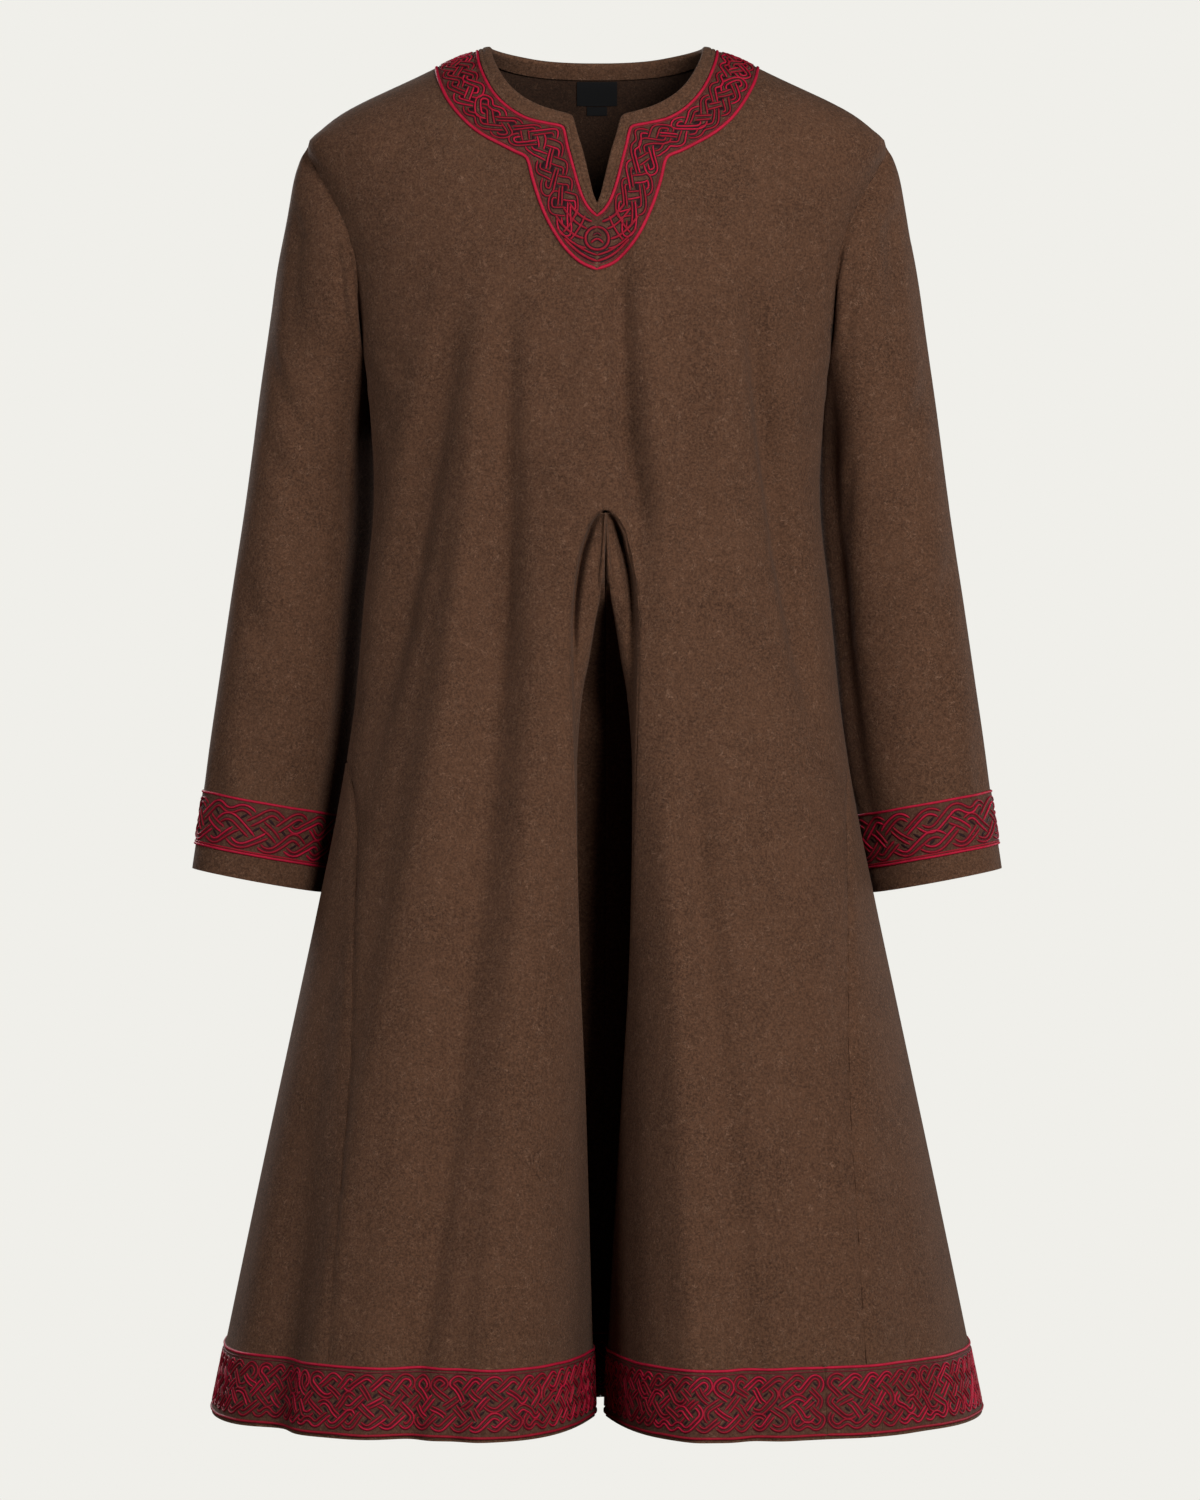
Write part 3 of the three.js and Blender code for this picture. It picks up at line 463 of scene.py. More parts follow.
def shell(name: str, grids: Sequence[Grid], inner: float, outer: float) -> bpy.types.Object:
    """Make a closed wall of cloth from patches that share edges.

    Args:
        name: name of the piece.
        grids: its patches, in millimetres.
        inner: how far its inner face lies out of the patches.
        outer: how far its outer face does.

    Returns:
        The object.
    """
    points, normals, faces, count = [], [], [], 0
    for grid in grids:
        rows, columns = grid.points.shape[:2]
        faces.append(quads(rows, columns) + count)
        points.append(grid.points.reshape(-1, 3))
        normals.append(grid.normals.reshape(-1, 3))
        count += rows * columns
    points, normals, faces = merged(np.concatenate(points), np.concatenate(normals), np.concatenate(faces))
    under = len(points)
    edges = np.concatenate([faces[:, [i, (i + 1) % 4]] for i in range(4)])
    edges = edges[edges[:, 0] != edges[:, 1]]
    codes = edges[:, 0] * under + edges[:, 1]
    free = edges[~np.isin(codes, edges[:, 1] * under + edges[:, 0])]
    rim = np.stack([free[:, 1], free[:, 0], free[:, 0] + under, free[:, 1] + under], axis=-1)
    every = np.concatenate([faces, faces[:, ::-1] + under, rim])
    vertices = np.concatenate([points + normals * outer, points + normals * inner])
    return make_object(name, vertices, every, sharp=rim)


def make_object(name: str, vertices: Array, faces: Array, sharp: Array | None = None) -> bpy.types.Object:
    """Put a mesh in the scene, smooth but for its sharp edges.

    Args:
        name: name of the piece.
        vertices: its vertices, in millimetres.
        faces: four vertex numbers for each face; a repeated number makes a triangle.
        sharp: faces whose first two and last two vertices bound a sharp edge.

    Returns:
        The object.
    """
    mesh = bpy.data.meshes.new(name)
    loops = []
    for face in faces.tolist():
        corners = [v for i, v in enumerate(face) if v != face[i - 1]]
        if len(set(corners)) >= 3:
            loops.append(corners)
    mesh.from_pydata((vertices * MM).tolist(), [], loops)
    mesh.validate()
    mesh.update()
    mesh.shade_smooth()
    if sharp is not None:
        pairs = {tuple(sorted(pair)) for face in sharp.tolist() for pair in (face[:2], face[2:])}
        flags = [tuple(sorted(edge.vertices)) in pairs for edge in mesh.edges]
        mesh.attributes.new("sharp_edge", "BOOLEAN", "EDGE").data.foreach_set("value", flags)
    obj = bpy.data.objects.new(name, mesh)
    bpy.context.collection.objects.link(obj)
    return obj


# ---------------------------------------------------------------- creases

@dataclass(frozen=True)
class Crease:
    """A short trough along a bent line; a negative depth is a ridge."""

    start: tuple[float, float]
    bend: tuple[float, float]
    end: tuple[float, float]
    width: float
    depth: float

    SAMPLES = 60

    def at(self, a: Array, b: Array) -> Array:
        """Depth of the trough at places (a, b) of a face laid flat."""
        t = np.linspace(0, 1, self.SAMPLES)
        path = (np.outer((1 - t) ** 2, self.start) + np.outer(2 * t * (1 - t), self.bend)
                + np.outer(t * t, self.end))
        reach = 2.6 * self.width
        low, high = path.min(0) - reach, path.max(0) + reach
        near = (a > low[0]) & (a < high[0]) & (b > low[1]) & (b < high[1])
        depth = np.zeros(a.shape)
        if near.any():
            gaps = np.hypot(a[near][:, None] - path[:, 0], b[near][:, None] - path[:, 1])
            nearest = gaps.argmin(-1)
            share = t[nearest]
            fade = ease(share / 0.3) * ease((1 - share) / 0.45)
            depth[near] = self.depth * fade * np.exp(-((gaps.min(-1) / self.width) ** 2))
        return depth


def creases(*rows: tuple) -> tuple[Crease, ...]:
    """Creases, each from a row of its start, bend, end, width and depth."""
    return tuple(Crease(*row) for row in rows)


FINE_CREASES = {
    Face.FRONT: creases(
        ((-199, -219), (-181, -262), (-166, -330), 8, 3.0),
        ((-199, -238), (-190, -296), (-182, -356), 7, 2.0),
        ((-192, -205), (-168, -226), (-148, -262), 8, 1.8), ((198, -221), (183, -266), (170, -336), 8, 3.2),
        ((197, -242), (188, -300), (186, -366), 7, 2.0), ((190, -206), (166, -230), (150, -270), 8, 1.7),
        ((-152, -6), (-170, -44), (-180, -104), 12, 2.0), ((154, -8), (174, -48), (184, -110), 12, 1.8),
        ((-70, -60), (-96, -96), (-108, -150), 16, 1.6), ((74, -62), (104, -96), (118, -156), 16, 1.4),
        ((-188, -366), (-156, -380), (-118, -424), 11, 1.6),
        ((-192, -420), (-168, -436), (-140, -474), 10, 1.5),
        ((188, -352), (160, -372), (132, -420), 11, 1.6), ((194, -430), (172, -446), (150, -486), 10, 1.3),
        ((-4, -350), (-26, -336), (-52, -300), 12, -1.6), ((4, -350), (24, -338), (50, -306), 12, -1.4),
        ((0, -346), (2, -320), (4, -280), 9, 1.4), ((213, -563), (203, -596), (186, -650), 7, 2.4),
        ((213, -580), (206, -626), (200, -700), 6, 1.8), ((-213, -563), (-204, -600), (-190, -660), 7, 2.2),
        ((-213, -584), (-206, -630), (-202, -690), 6, 1.6),
        ((-34, -470), (-52, -520), (-58, -600), 13, 1.6), ((36, -480), (50, -540), (56, -640), 13, 1.5),
        ((-46, -700), (-60, -790), (-66, -900), 15, 1.4), ((118, -640), (128, -740), (132, -860), 16, 1.6),
        ((-218, -880), (-246, -960), (-262, -1050), 15, 2.2),
        ((214, -900), (232, -980), (242, -1060), 15, 2.0),
    ),
    Face.BACK: creases(
        ((-199, -219), (-180, -266), (-160, -340), 9, 3.0),
        ((-198, -240), (-188, -300), (-178, -372), 7, 2.0), ((198, -221), (180, -262), (164, -324), 9, 2.8),
        ((197, -240), (186, -306), (180, -380), 7, 2.0), ((-120, 2), (-142, -50), (-150, -130), 14, 2.0),
        ((122, 2), (146, -54), (156, -138), 14, 2.2), ((-30, -30), (-36, -90), (-30, -170), 16, 1.5),
        ((40, -36), (52, -96), (58, -180), 16, 1.4), ((-190, -370), (-150, -392), (-104, -452), 12, 1.8),
        ((190, -356), (154, -376), (116, -430), 12, 1.7), ((213, -563), (200, -604), (182, -670), 7, 2.2),
        ((-213, -563), (-202, -600), (-184, -656), 7, 2.4), ((30, -560), (34, -700), (30, -860), 15, 1.8),
        ((-60, -640), (-70, -760), (-72, -900), 15, 1.7), ((214, -880), (238, -960), (258, -1050), 15, 2.2),
        ((-212, -860), (-226, -950), (-240, -1050), 15, 2.0),
    ),
}


class CreasedBody(BodyForm):
    """The body with its short creases as well."""

    def point(self, angle: Array, z: Array) -> Array:
        """Places of the surface, drawn in along the creases."""
        smooth = super().point(angle, z)
        angle, z = np.broadcast_arrays(np.asarray(angle, float), np.asarray(z, float))
        is_front = np.cos(angle) >= 0
        depth = np.zeros(z.shape)
        for face, creases in FINE_CREASES.items():
            here = is_front == (face is Face.FRONT)
            for crease in creases:
                depth += np.where(here, crease.at(smooth[..., 0], z), 0.0)
        outward = unit(smooth * np.array([1.0, 1.6, 0.0]))
        return smooth - outward * (depth * np.abs(np.cos(angle)) ** 0.5)[..., None]


BODY_FORM = CreasedBody(MAIN_FOLDS + SOFT_FOLDS)


# ---------------------------------------------------------------- patches of the garment

def filled(stops: Sequence[tuple[float, float]]) -> Array:
    """Fill the way between stops with even steps.

    Args:
        stops: places, each with the largest step on the way to the next one.

    Returns:
        All the places in order.
    """
    places = [np.array([stops[0][0]])]
    for (start, step), (end, _) in zip(stops, stops[1:]):
        count = max(1, math.ceil(abs(end - start) / step))
        places.append(np.linspace(start, end, count + 1)[1:])
    return np.concatenate(places)


SEAM_TOP_Z = 24.4
PANEL_HEIGHTS = filled((
    (SEAM_TOP_Z, 4.6), (SHOULDER_Z, 4.6), (UNDERARM_Z, 4.7), (APEX_SIDE_Z, 0.8), (-272, 2.4),
    (-290, 5.2), (SIDE_GORE_TOP_Z, 2.5), (LEVEL_Z, 5.2), (HEM_BAND_TOP_Z, 4.9), (HEM_Z, 1),
))
NECK_STEPS = filled(((0, 0.2), (1, 0.1), (2, 1)))


@dataclass(frozen=True)
class PanelForm:
    """One half of the front or the back, laid out in columns from its middle to its edge.

    A place is a column, counted in stations of the neck, and a way down: 0 is the neck edge, 1 the end
    of the binding, 2 the end of the neck band, and below it every millimetre at the side adds 0.001.
    """

    face: Face
    side: Side
    neck: Table
    spread: float

    @property
    def last(self) -> float:
        """The column of the side edge."""
        return float(self.neck.keys[-1])

    def place(self, column: Array, down: Array) -> tuple[Array, Array]:
        """Angle round the body and height of places of the panel."""
        column, down = np.broadcast_arrays(np.asarray(column, float), np.asarray(down, float))
        size = {name: self.neck.at(name, column) for name in self.neck.columns}
        on_edge = column >= self.last - 1e-9
        inner, outer = np.clip(down, 0, 1), np.clip(down - 1, 0, 1)
        x = mix(mix(size["edge_x"], size["bound_x"], inner), size["outer_x"], outer)
        up = mix(mix(size["edge_z"], size["bound_z"], inner), size["outer_z"], outer)
        neck_angle = np.where(on_edge, np.pi / 2, angle_across(x, up))
        neck_z = np.where(on_edge, shoulder_height(x), up)
        side_z = SEAM_TOP_Z - (down - 2) * 1000
        fade = np.clip((side_z - LEVEL_Z) / (SEAM_TOP_Z - LEVEL_Z), 0, 1)
        low_z = side_z + (size["outer_z"] - SEAM_TOP_Z) * fade
        gap = angle_across(PLEAT.at("half_gap", low_z), low_z) if self.face is Face.FRONT else 0.0
        start = angle_across(size["outer_x"], size["outer_z"]) / edge_angle(size["outer_z"])
        hem = (column / self.last) ** self.spread
        share = mix(start, hem, ease((size["outer_z"] - low_z) / (size["outer_z"] - SPREAD_BY_Z)))
        low_angle = mix(gap, edge_angle(low_z), np.where(on_edge, 1.0, share))
        in_neck = down <= 2
        angle = np.where(in_neck, neck_angle, low_angle)
        turned = self.side.value * (angle if self.face is Face.FRONT else np.pi - angle)
        return turned, np.where(in_neck, neck_z, low_z)

    def grid(self, columns: Array, downs: Array) -> Grid:
        """The patch at some columns and ways down."""
        angle, z = self.place(columns[None, :], downs[:, None])
        made = Grid(BODY_FORM.point(angle, z), BODY_FORM.normal(angle, z))
        return made if self.face.value * self.side.value > 0 else made.mirrored()


HALVES = {
    (face, side): PanelForm(face, side, neck, spread)
    for face, neck, spread in ((Face.FRONT, FRONT_NECK, 1.35), (Face.BACK, BACK_NECK, 1.05))
    for side in Side
}


def down_of(side_z: Array | float) -> Array | float:
    """Way down a panel to a height at its side."""
    return 2 + (SEAM_TOP_Z - side_z) / 1000


@dataclass(frozen=True)
class SleeveForm:
    """A sleeve, in columns round it (0 outside, 4 front, 8 inside, 12 behind) and rows down it.

    Its inside hangs back by its lag.
    """

    side: Side
    lag: float
    creases: tuple[Crease, ...]

    COLUMNS = 16
    BLEND_ROWS = 4
    COLUMN_WIDTH = 22.0
    ROW_LENGTH = 50.0
    ARMHOLE_HEIGHTS = (SHOULDER_Z, -85.0, -128.0, -172.0, UNDERARM_Z)
    FOLDS = (
        (3.2, 5.2, 3, 10, 1.1, 4), (6.4, 6.0, 2, 8, 0.9, 4),
        (12.5, 11.4, 3, 10, 1.1, 5), (9.8, 10.2, 2, 9, 0.9, 4), (6.8, 6.5, 2, 12.5, 0.6, 6),
    )

    def section(self, column: Array, row: Array) -> Array:
        """Places of the plain tube, before the armhole shapes its top."""
        turn = 2 * np.pi * column / self.COLUMNS
        outward = 0.5 + 0.5 * np.cos(turn)
        x = mix(SLEEVE.at("inner_x", row), SLEEVE.at("outer_x", row), outward)
        lag = self.lag * ease((row - 1.5) / 3) * (1 - 0.6 * ease((row - 10) / 3))
        y = SLEEVE.at("behind", row) - SLEEVE.at("half_depth", row) * np.sin(turn) + lag * (1 - outward) ** 2
        z = mix(SLEEVE.at("inner_z", row), SLEEVE.at("outer_z", row), outward)
        return np.stack([self.side.value * x, y, z], axis=-1)

    def on_body(self, column: Array) -> tuple[Array, Array]:
        """Angle and height on the body of places of the armhole seam."""
        around = np.mod(column, self.COLUMNS)
        down = np.where(around <= 8, around, self.COLUMNS - around) / 2
        z = np.interp(down, np.arange(5), self.ARMHOLE_HEIGHTS)
        angle = edge_angle(z)
        return self.side.value * np.where(around <= 8, angle, np.pi - angle), z

    def armhole(self, column: Array) -> Array:
        """Places of the armhole seam."""
        return BODY_FORM.point(*self.on_body(column))

    def seam_direction(self, column: Array) -> Array:
        """Direction out of the garment that body and sleeve share at the armhole."""
        first = surface_normal(self.point, column, np.full(np.shape(column), 0.03), 0.02, 0.01)
        return unit(first * self.side.value + BODY_FORM.normal(*self.on_body(column)))

    def seam_column(self, face: Face, z: Array) -> Array:
        """Column of the sleeve that meets the body's front or back at a height."""
        down = 2 * np.interp(-z, -np.array(self.ARMHOLE_HEIGHTS), np.arange(5))
        return down if face is Face.FRONT else self.COLUMNS - down

    def tube(self, column: Array, row: Array) -> Array:
        """Places of the sleeve before its folds."""
        column, row = np.broadcast_arrays(np.asarray(column, float), np.asarray(row, float))
        keep = 1 - ease(row / self.BLEND_ROWS)
        plain = self.section(column, row)
        shift = self.armhole(column) - self.section(column, np.zeros_like(row))
        return plain + shift * keep[..., None]

    def point(self, column: Array, row: Array) -> Array:
        """Places of the sleeve with its folds and creases."""
        column, row = np.broadcast_arrays(np.asarray(column, float), np.asarray(row, float))
        wrapped = np.mod(column, self.COLUMNS)
        depth = np.zeros(row.shape)
        for start, end, first, last, width, deep in self.FOLDS:
            t = (row - first) / (last - first)
            path = mix(start, end, t)
            inside = np.sin(np.pi * np.clip(t, 0, 1))
            depth += deep * inside * np.exp(-(((wrapped - path) / width) ** 2))
        across = np.where(wrapped > 8, wrapped - self.COLUMNS, wrapped) * self.COLUMN_WIDTH
        for crease in self.creases:
            depth += crease.at(across, row * self.ROW_LENGTH)
        outward = surface_normal(self.tube, column, row, 0.02, 0.01) * self.side.value
        return self.tube(column, row) - outward * depth[..., None]

    def grid(self, columns: Array, rows: Array) -> Grid:
        """The patch at some columns and rows."""
        column, row = np.meshgrid(columns, rows)
        normals = surface_normal(self.point, column, row, 0.02, 0.01) * self.side.value
        made = Grid(self.point(column, row), normals)
        return made.mirrored() if self.side is Side.LEFT else made


SLEEVES = {
    Side.LEFT: SleeveForm(Side.LEFT, 5.0, creases(
        ((20, 60), (50, 130), (64, 220), 14, 3.4), ((70, 30), (104, 90), (112, 160), 11, 3.2),
        ((8, 240), (44, 262), (92, 300), 12, 2.6), ((30, 300), (66, 318), (120, 330), 11, 2.4),
        ((14, 350), (40, 392), (88, 430), 13, 2.6), ((56, 420), (74, 470), (80, 540), 13, 2.8),
        ((24, 470), (34, 540), (30, 600), 12, 2.0), ((110, 240), (128, 280), (132, 340), 9, 2.4),
        ((-20, 70), (-52, 140), (-70, 230), 14, 3.2), ((-80, 30), (-108, 90), (-118, 170), 11, 3.0),
        ((-10, 250), (-50, 280), (-104, 300), 12, 2.8), ((-20, 330), (-60, 350), (-118, 360), 11, 2.4),
        ((-30, 410), (-60, 460), (-74, 540), 13, 2.4), ((-110, 400), (-120, 470), (-112, 550), 12, 2.0),
        ((2, 120), (8, 240), (2, 360), 13, -2.2),
    )),
    Side.RIGHT: SleeveForm(Side.RIGHT, 25.0, creases(
        ((16, 70), (44, 140), (60, 240), 14, 3.0), ((66, 30), (100, 84), (110, 150), 11, 3.2),
        ((10, 220), (50, 250), (100, 276), 12, 2.8), ((26, 290), (70, 300), (124, 326), 11, 2.2),
        ((20, 370), (50, 400), (96, 450), 13, 2.8), ((60, 440), (70, 490), (72, 560), 13, 2.4),
        ((30, 500), (40, 560), (36, 620), 12, 1.8), ((112, 220), (126, 270), (130, 320), 9, 2.6),
        ((-24, 60), (-56, 130), (-72, 220), 14, 3.4), ((-78, 34), (-106, 96), (-116, 160), 11, 2.8),
        ((-12, 260), (-54, 270), (-100, 310), 12, 2.4), ((-22, 340), (-64, 344), (-116, 372), 11, 2.6),
        ((-34, 420), (-58, 470), (-70, 550), 13, 2.6), ((-108, 410), (-118, 480), (-108, 560), 12, 2.2),
        ((2, 110), (-8, 230), (4, 350), 13, -2.4),
    )),
}


@dataclass(frozen=True)
class FrontGoreForm:
    """One half of the gore in the pleat: share 0 is its seam, share 1 the bottom of the pleat.

    From its seam it tucks in behind the panel, comes forward over a soft shoulder, drops down a wall and
    runs to the middle of the pleat's bottom. Higher up the wall fades out and the middle seam is a ridge.
    """

    side: Side
    tuck: float = 14.0
    tuck_reach: float = 2.3
    wider_on_left: float = 0.6
    overhang: float = 5.0
    swell: float = 3.0
    shoulder: float = 0.36
    ridge: float = 1.8
    ridge_width: float = 1.2

    GROOVE_DOWN = (400, 430, 480, 507, 560, 640)
    GROOVE_SHARE = (0.03, 0.07, 0.28, 0.5, 0.8, 1.0)
    SHOULDER_END = 0.42
    WALL_START = 0.3
    BOTTOM_START = 0.62

    def point(self, share: Array, z: Array) -> Array:
        """Places of the gore."""
        share, z = np.broadcast_arrays(np.asarray(share, float), np.asarray(z, float))
        half_gap = PLEAT.at("half_gap", z)
        edge = BODY_FORM.point(self.side.value * angle_across(half_gap, z), z)
        within = np.clip(share, 0, 1)
        groove = np.interp(-z, self.GROOVE_DOWN, self.GROOVE_SHARE)
        across = (1 - (1 - groove) * ease(within / self.SHOULDER_END)
                  - groove * ease((within - self.BOTTOM_START) / (1 - self.BOTTOM_START)))
        wall = (1 - self.shoulder) * below(z, -398, 55)
        sunk = self.shoulder * ease(within / 0.4) + wall * ease((within - self.WALL_START) / 0.42)
        belly = PLEAT.at("belly", z) * np.sin(np.pi * within) * ease((within - 0.2) / 0.3)
        lean = BODY_FORM.lean(z)
        x = lean + (edge[..., 0] - lean) * across + belly * self.side.value
        begun = below(z, -347, 34) * (1 - 0.7 * below(z, -415, 120))
        reach = (1 - across) * half_gap / (self.tuck_reach + self.wider_on_left * self.side.value)
        hidden = begun * (self.tuck * reach * np.exp(1 - reach) + self.overhang * (1 - np.exp(-reach)))
        swell = self.swell * below(z, -360, 50) * (1 - below(z, -480, 110)) * np.sin(np.pi * within)
        from_middle = across * half_gap / self.ridge_width
        ridge = self.ridge * np.exp(-(from_middle ** 2)) * (1 - below(z, -410, 50))
        y = edge[..., 1] + PLEAT.at("depth", z) * sunk + hidden - swell - ridge
        return np.stack([x, y, z], axis=-1)

    def grid(self, shares: Array, heights: Array) -> Grid:
        """The patch at some shares and heights."""
        share, z = np.meshgrid(shares, heights)
        inside = np.clip(share, 0.02, 0.98)
        normals = surface_normal(self.point, inside, np.minimum(z, GORE_APEX_Z - 2), 0.02, 0.5)
        made = Grid(self.point(share, z), normals * -self.side.value)
        return made.mirrored() if self.side is Side.LEFT else made


@dataclass(frozen=True)
class SideGoreForm:
    """The gore in a side seam: share 0 is its seam with the front, share 1 with the back."""

    side: Side

    def grid(self, shares: Array, heights: Array) -> Grid:
        """The patch at some shares and heights."""
        share, z = np.meshgrid(shares, heights)
        edge = edge_angle(z)
        angle = self.side.value * mix(edge, np.pi - edge, share)
        made = Grid(BODY_FORM.point(angle, z), BODY_FORM.normal(angle, z))
        return made if self.side is Side.LEFT else made.mirrored()


# ---------------------------------------------------------------- finishes

@dataclass(frozen=True)
class WoolFinish:
    """Fulled wool: a heathered brown with short curly fibres on it."""

    name: str
    dark: tuple[float, float, float]
    light: tuple[float, float, float]
    fibre: tuple[float, float, float]
    bump: float = 0.75
    sheen: float = 0.05


@dataclass(frozen=True)
class ThreadFinish:
    """Embroidery thread laid in satin stitch; its dark colour is painted shade and its light colour a
    painted highlight.
    """

    name: str
    # dark is the painted shade at the edges of a cord and between stitches, light the painted highlight on
    # its crown
    dark: tuple[float, float, float]
    light: tuple[float, float, float]
    stitch: float = 1.1


@dataclass(frozen=True)
class LabelFinish:
    """Woven ribbon of a plain colour."""

    name: str
    colour: tuple[float, float, float]


WOOL = WoolFinish("brown wool", (0.028, 0.0115, 0.0055), (0.140, 0.066, 0.036), (0.30, 0.17, 0.11))
# A darker copy of the brown wool: painted shade for the faces that look into the garment.
INNER_WOOL_PAINTED_SHADE = WoolFinish("wool inside painted shade", (0.010, 0.0042, 0.0022), (0.048, 0.022, 0.012), (0.11, 0.06, 0.035))
BAND_WOOL = WoolFinish("band ground", (0.036, 0.013, 0.0075), (0.110, 0.046, 0.028), (0.25, 0.13, 0.09), 0.4)
CRIMSON = ThreadFinish("crimson thread", (0.085, 0.0012, 0.005), (0.36, 0.008, 0.026))
BRIGHT = ThreadFinish("bright red thread", (0.17, 0.0015, 0.010), (0.54, 0.009, 0.045))
DEEP_RED = ThreadFinish("deep red thread", (0.075, 0.005, 0.010), (0.17, 0.015, 0.024))
# Painted shadow: the black of the strokes in the holes and of the outlines under the neck's cords.
PAINTED_SHADOW_BLACK = ThreadFinish("painted shadow black", (0.004, 0.0008, 0.0014), (0.020, 0.0022, 0.005))
# Painted shade: the dark red laid under each cord as an outline of shadow.
PAINTED_SHADE_RED = ThreadFinish("painted shade red", (0.030, 0.0006, 0.0025), (0.095, 0.0022, 0.009))
BLACK_RIBBON = LabelFinish("black ribbon", (0.0035, 0.0036, 0.0042))


class NodeTree:
    """A short way to write a material's nodes."""

    def __init__(self, name: str, roughness: float) -> None:
        """Start a material with one principled shader."""
        self.material = bpy.data.materials.new(name)
        self.material.use_nodes = True
        self.tree = self.material.node_tree
        self.shader = self.tree.nodes["Principled BSDF"]
        self.shader.inputs["Roughness"].default_value = roughness
        self.shader.inputs["Specular IOR Level"].default_value = 0.25

    def node(self, kind: str, settings: dict | None = None, **values: object) -> bpy.types.Node:
        """Add a node; values are sockets' numbers or the sockets that feed them."""
        made = self.tree.nodes.new(kind)
        for key, value in (settings or {}).items():
            setattr(made, key, value)
        for key, value in values.items():
            socket = made.inputs[int(key[1:])] if key[1:].isdigit() else made.inputs[key.replace("_", " ")]
            if isinstance(value, bpy.types.NodeSocket):
                self.tree.links.new(value, socket)
            else:
                socket.default_value = value
        return made

    def noise(self, where: bpy.types.NodeSocket, scale: float, detail: float = 2.0,
              rough: float = 0.5, distortion: float = 0.0) -> bpy.types.NodeSocket:
        """Noise of a number of waves to the metre."""
        return self.node("ShaderNodeTexNoise", Vector=where, Scale=scale, Detail=detail, Roughness=rough,
                         Distortion=distortion).outputs[0]

    def math(self, operation: str, a: object, b: object = 0.0, c: object = 0.0) -> bpy.types.NodeSocket:
        """Arithmetic on sockets and numbers."""
        return self.node("ShaderNodeMath", {"operation": operation}, _0=a, _1=b, _2=c).outputs[0]

    def ranged(self, value: object, low: float, high: float, to_low: float = 0.0,
               to_high: float = 1.0) -> bpy.types.NodeSocket:
        """Stretch a range of a socket to another one."""
        return self.node("ShaderNodeMapRange", _0=value, _1=low, _2=high, _3=to_low, _4=to_high).outputs[0]

    def blend(self, share: object, a: object, b: object, kind: str = "MIX") -> bpy.types.NodeSocket:
        """Blend two colours."""
        mixer = self.node("ShaderNodeMix", {"data_type": "RGBA", "blend_type": kind})
        for index, value in ((0, share), (6, a), (7, b)):
            socket = mixer.inputs[index]
            if isinstance(value, bpy.types.NodeSocket):
                self.tree.links.new(value, socket)
            else:
                socket.default_value = (*value, 1.0) if isinstance(value, tuple) else value
        return mixer.outputs[2]

    def finish(self, colour: object, height: object, strength: float, depth: float) -> bpy.types.Material:
        """Join the colour and the bump to the shader."""
        self.tree.links.new(colour, self.shader.inputs["Base Color"])
        bump = self.node("ShaderNodeBump", Strength=strength, Distance=depth, Height=height)
        self.tree.links.new(bump.outputs[0], self.shader.inputs["Normal"])
        return self.material


def wool_material(finish: WoolFinish) -> bpy.types.Material:
    """Make fulled wool.

    Args:
        finish: its colours, its bump and its sheen.

    Returns:
        The material.
    """
    tree = NodeTree(finish.name, 0.96)
    where = tree.node("ShaderNodeTexCoord").outputs["Object"]
    heather = tree.noise(where, 520, 5, 0.7)
    nap = tree.noise(where, 1500, 3, 0.6)
    cloud = tree.noise(where, 24, 3, 0.55)
    share = tree.math("MULTIPLY_ADD", tree.ranged(heather, 0.39, 0.61), 0.68,
                      tree.ranged(nap, 0.38, 0.62, 0, 0.32))
    colour = tree.blend(share, finish.dark, finish.light)
    colour = tree.blend(tree.ranged(cloud, 0.3, 0.7, 0, 0.26), colour, finish.light)
    fuzz = []
    for scale, turn in ((150, 0.0), (210, 3.7), (120, 8.1)):
        moved = tree.node("ShaderNodeVectorMath", {"operation": "ADD"}, _0=where, _1=(turn,) * 3).outputs[0]
        curl = tree.noise(moved, scale, 2.5, 0.6, 0.9)
        line = tree.ranged(tree.math("ABSOLUTE", tree.math("SUBTRACT", curl, 0.5)), 0.004, 0.014, 1, 0)
        fuzz.append(tree.math("MULTIPLY", line, tree.ranged(tree.noise(moved, scale * 0.9, 2), 0.5, 0.62)))
    fibres = tree.math("MAXIMUM", tree.math("MAXIMUM", fuzz[0], fuzz[1]), fuzz[2])
    colour = tree.blend(tree.math("MULTIPLY", fibres, 0.42), colour, finish.fibre)
    tree.shader.inputs["Sheen Weight"].default_value = finish.sheen
    tree.shader.inputs["Sheen Roughness"].default_value = 0.45
    tree.shader.inputs["Sheen Tint"].default_value = (0.75, 0.6, 0.5, 1)
    height = tree.math("MULTIPLY_ADD", heather, 0.9, tree.math("MULTIPLY_ADD", nap, 0.6, tree.math(
        "MULTIPLY", fibres, 0.25)))
    return tree.finish(colour, height, finish.bump, 0.0009)


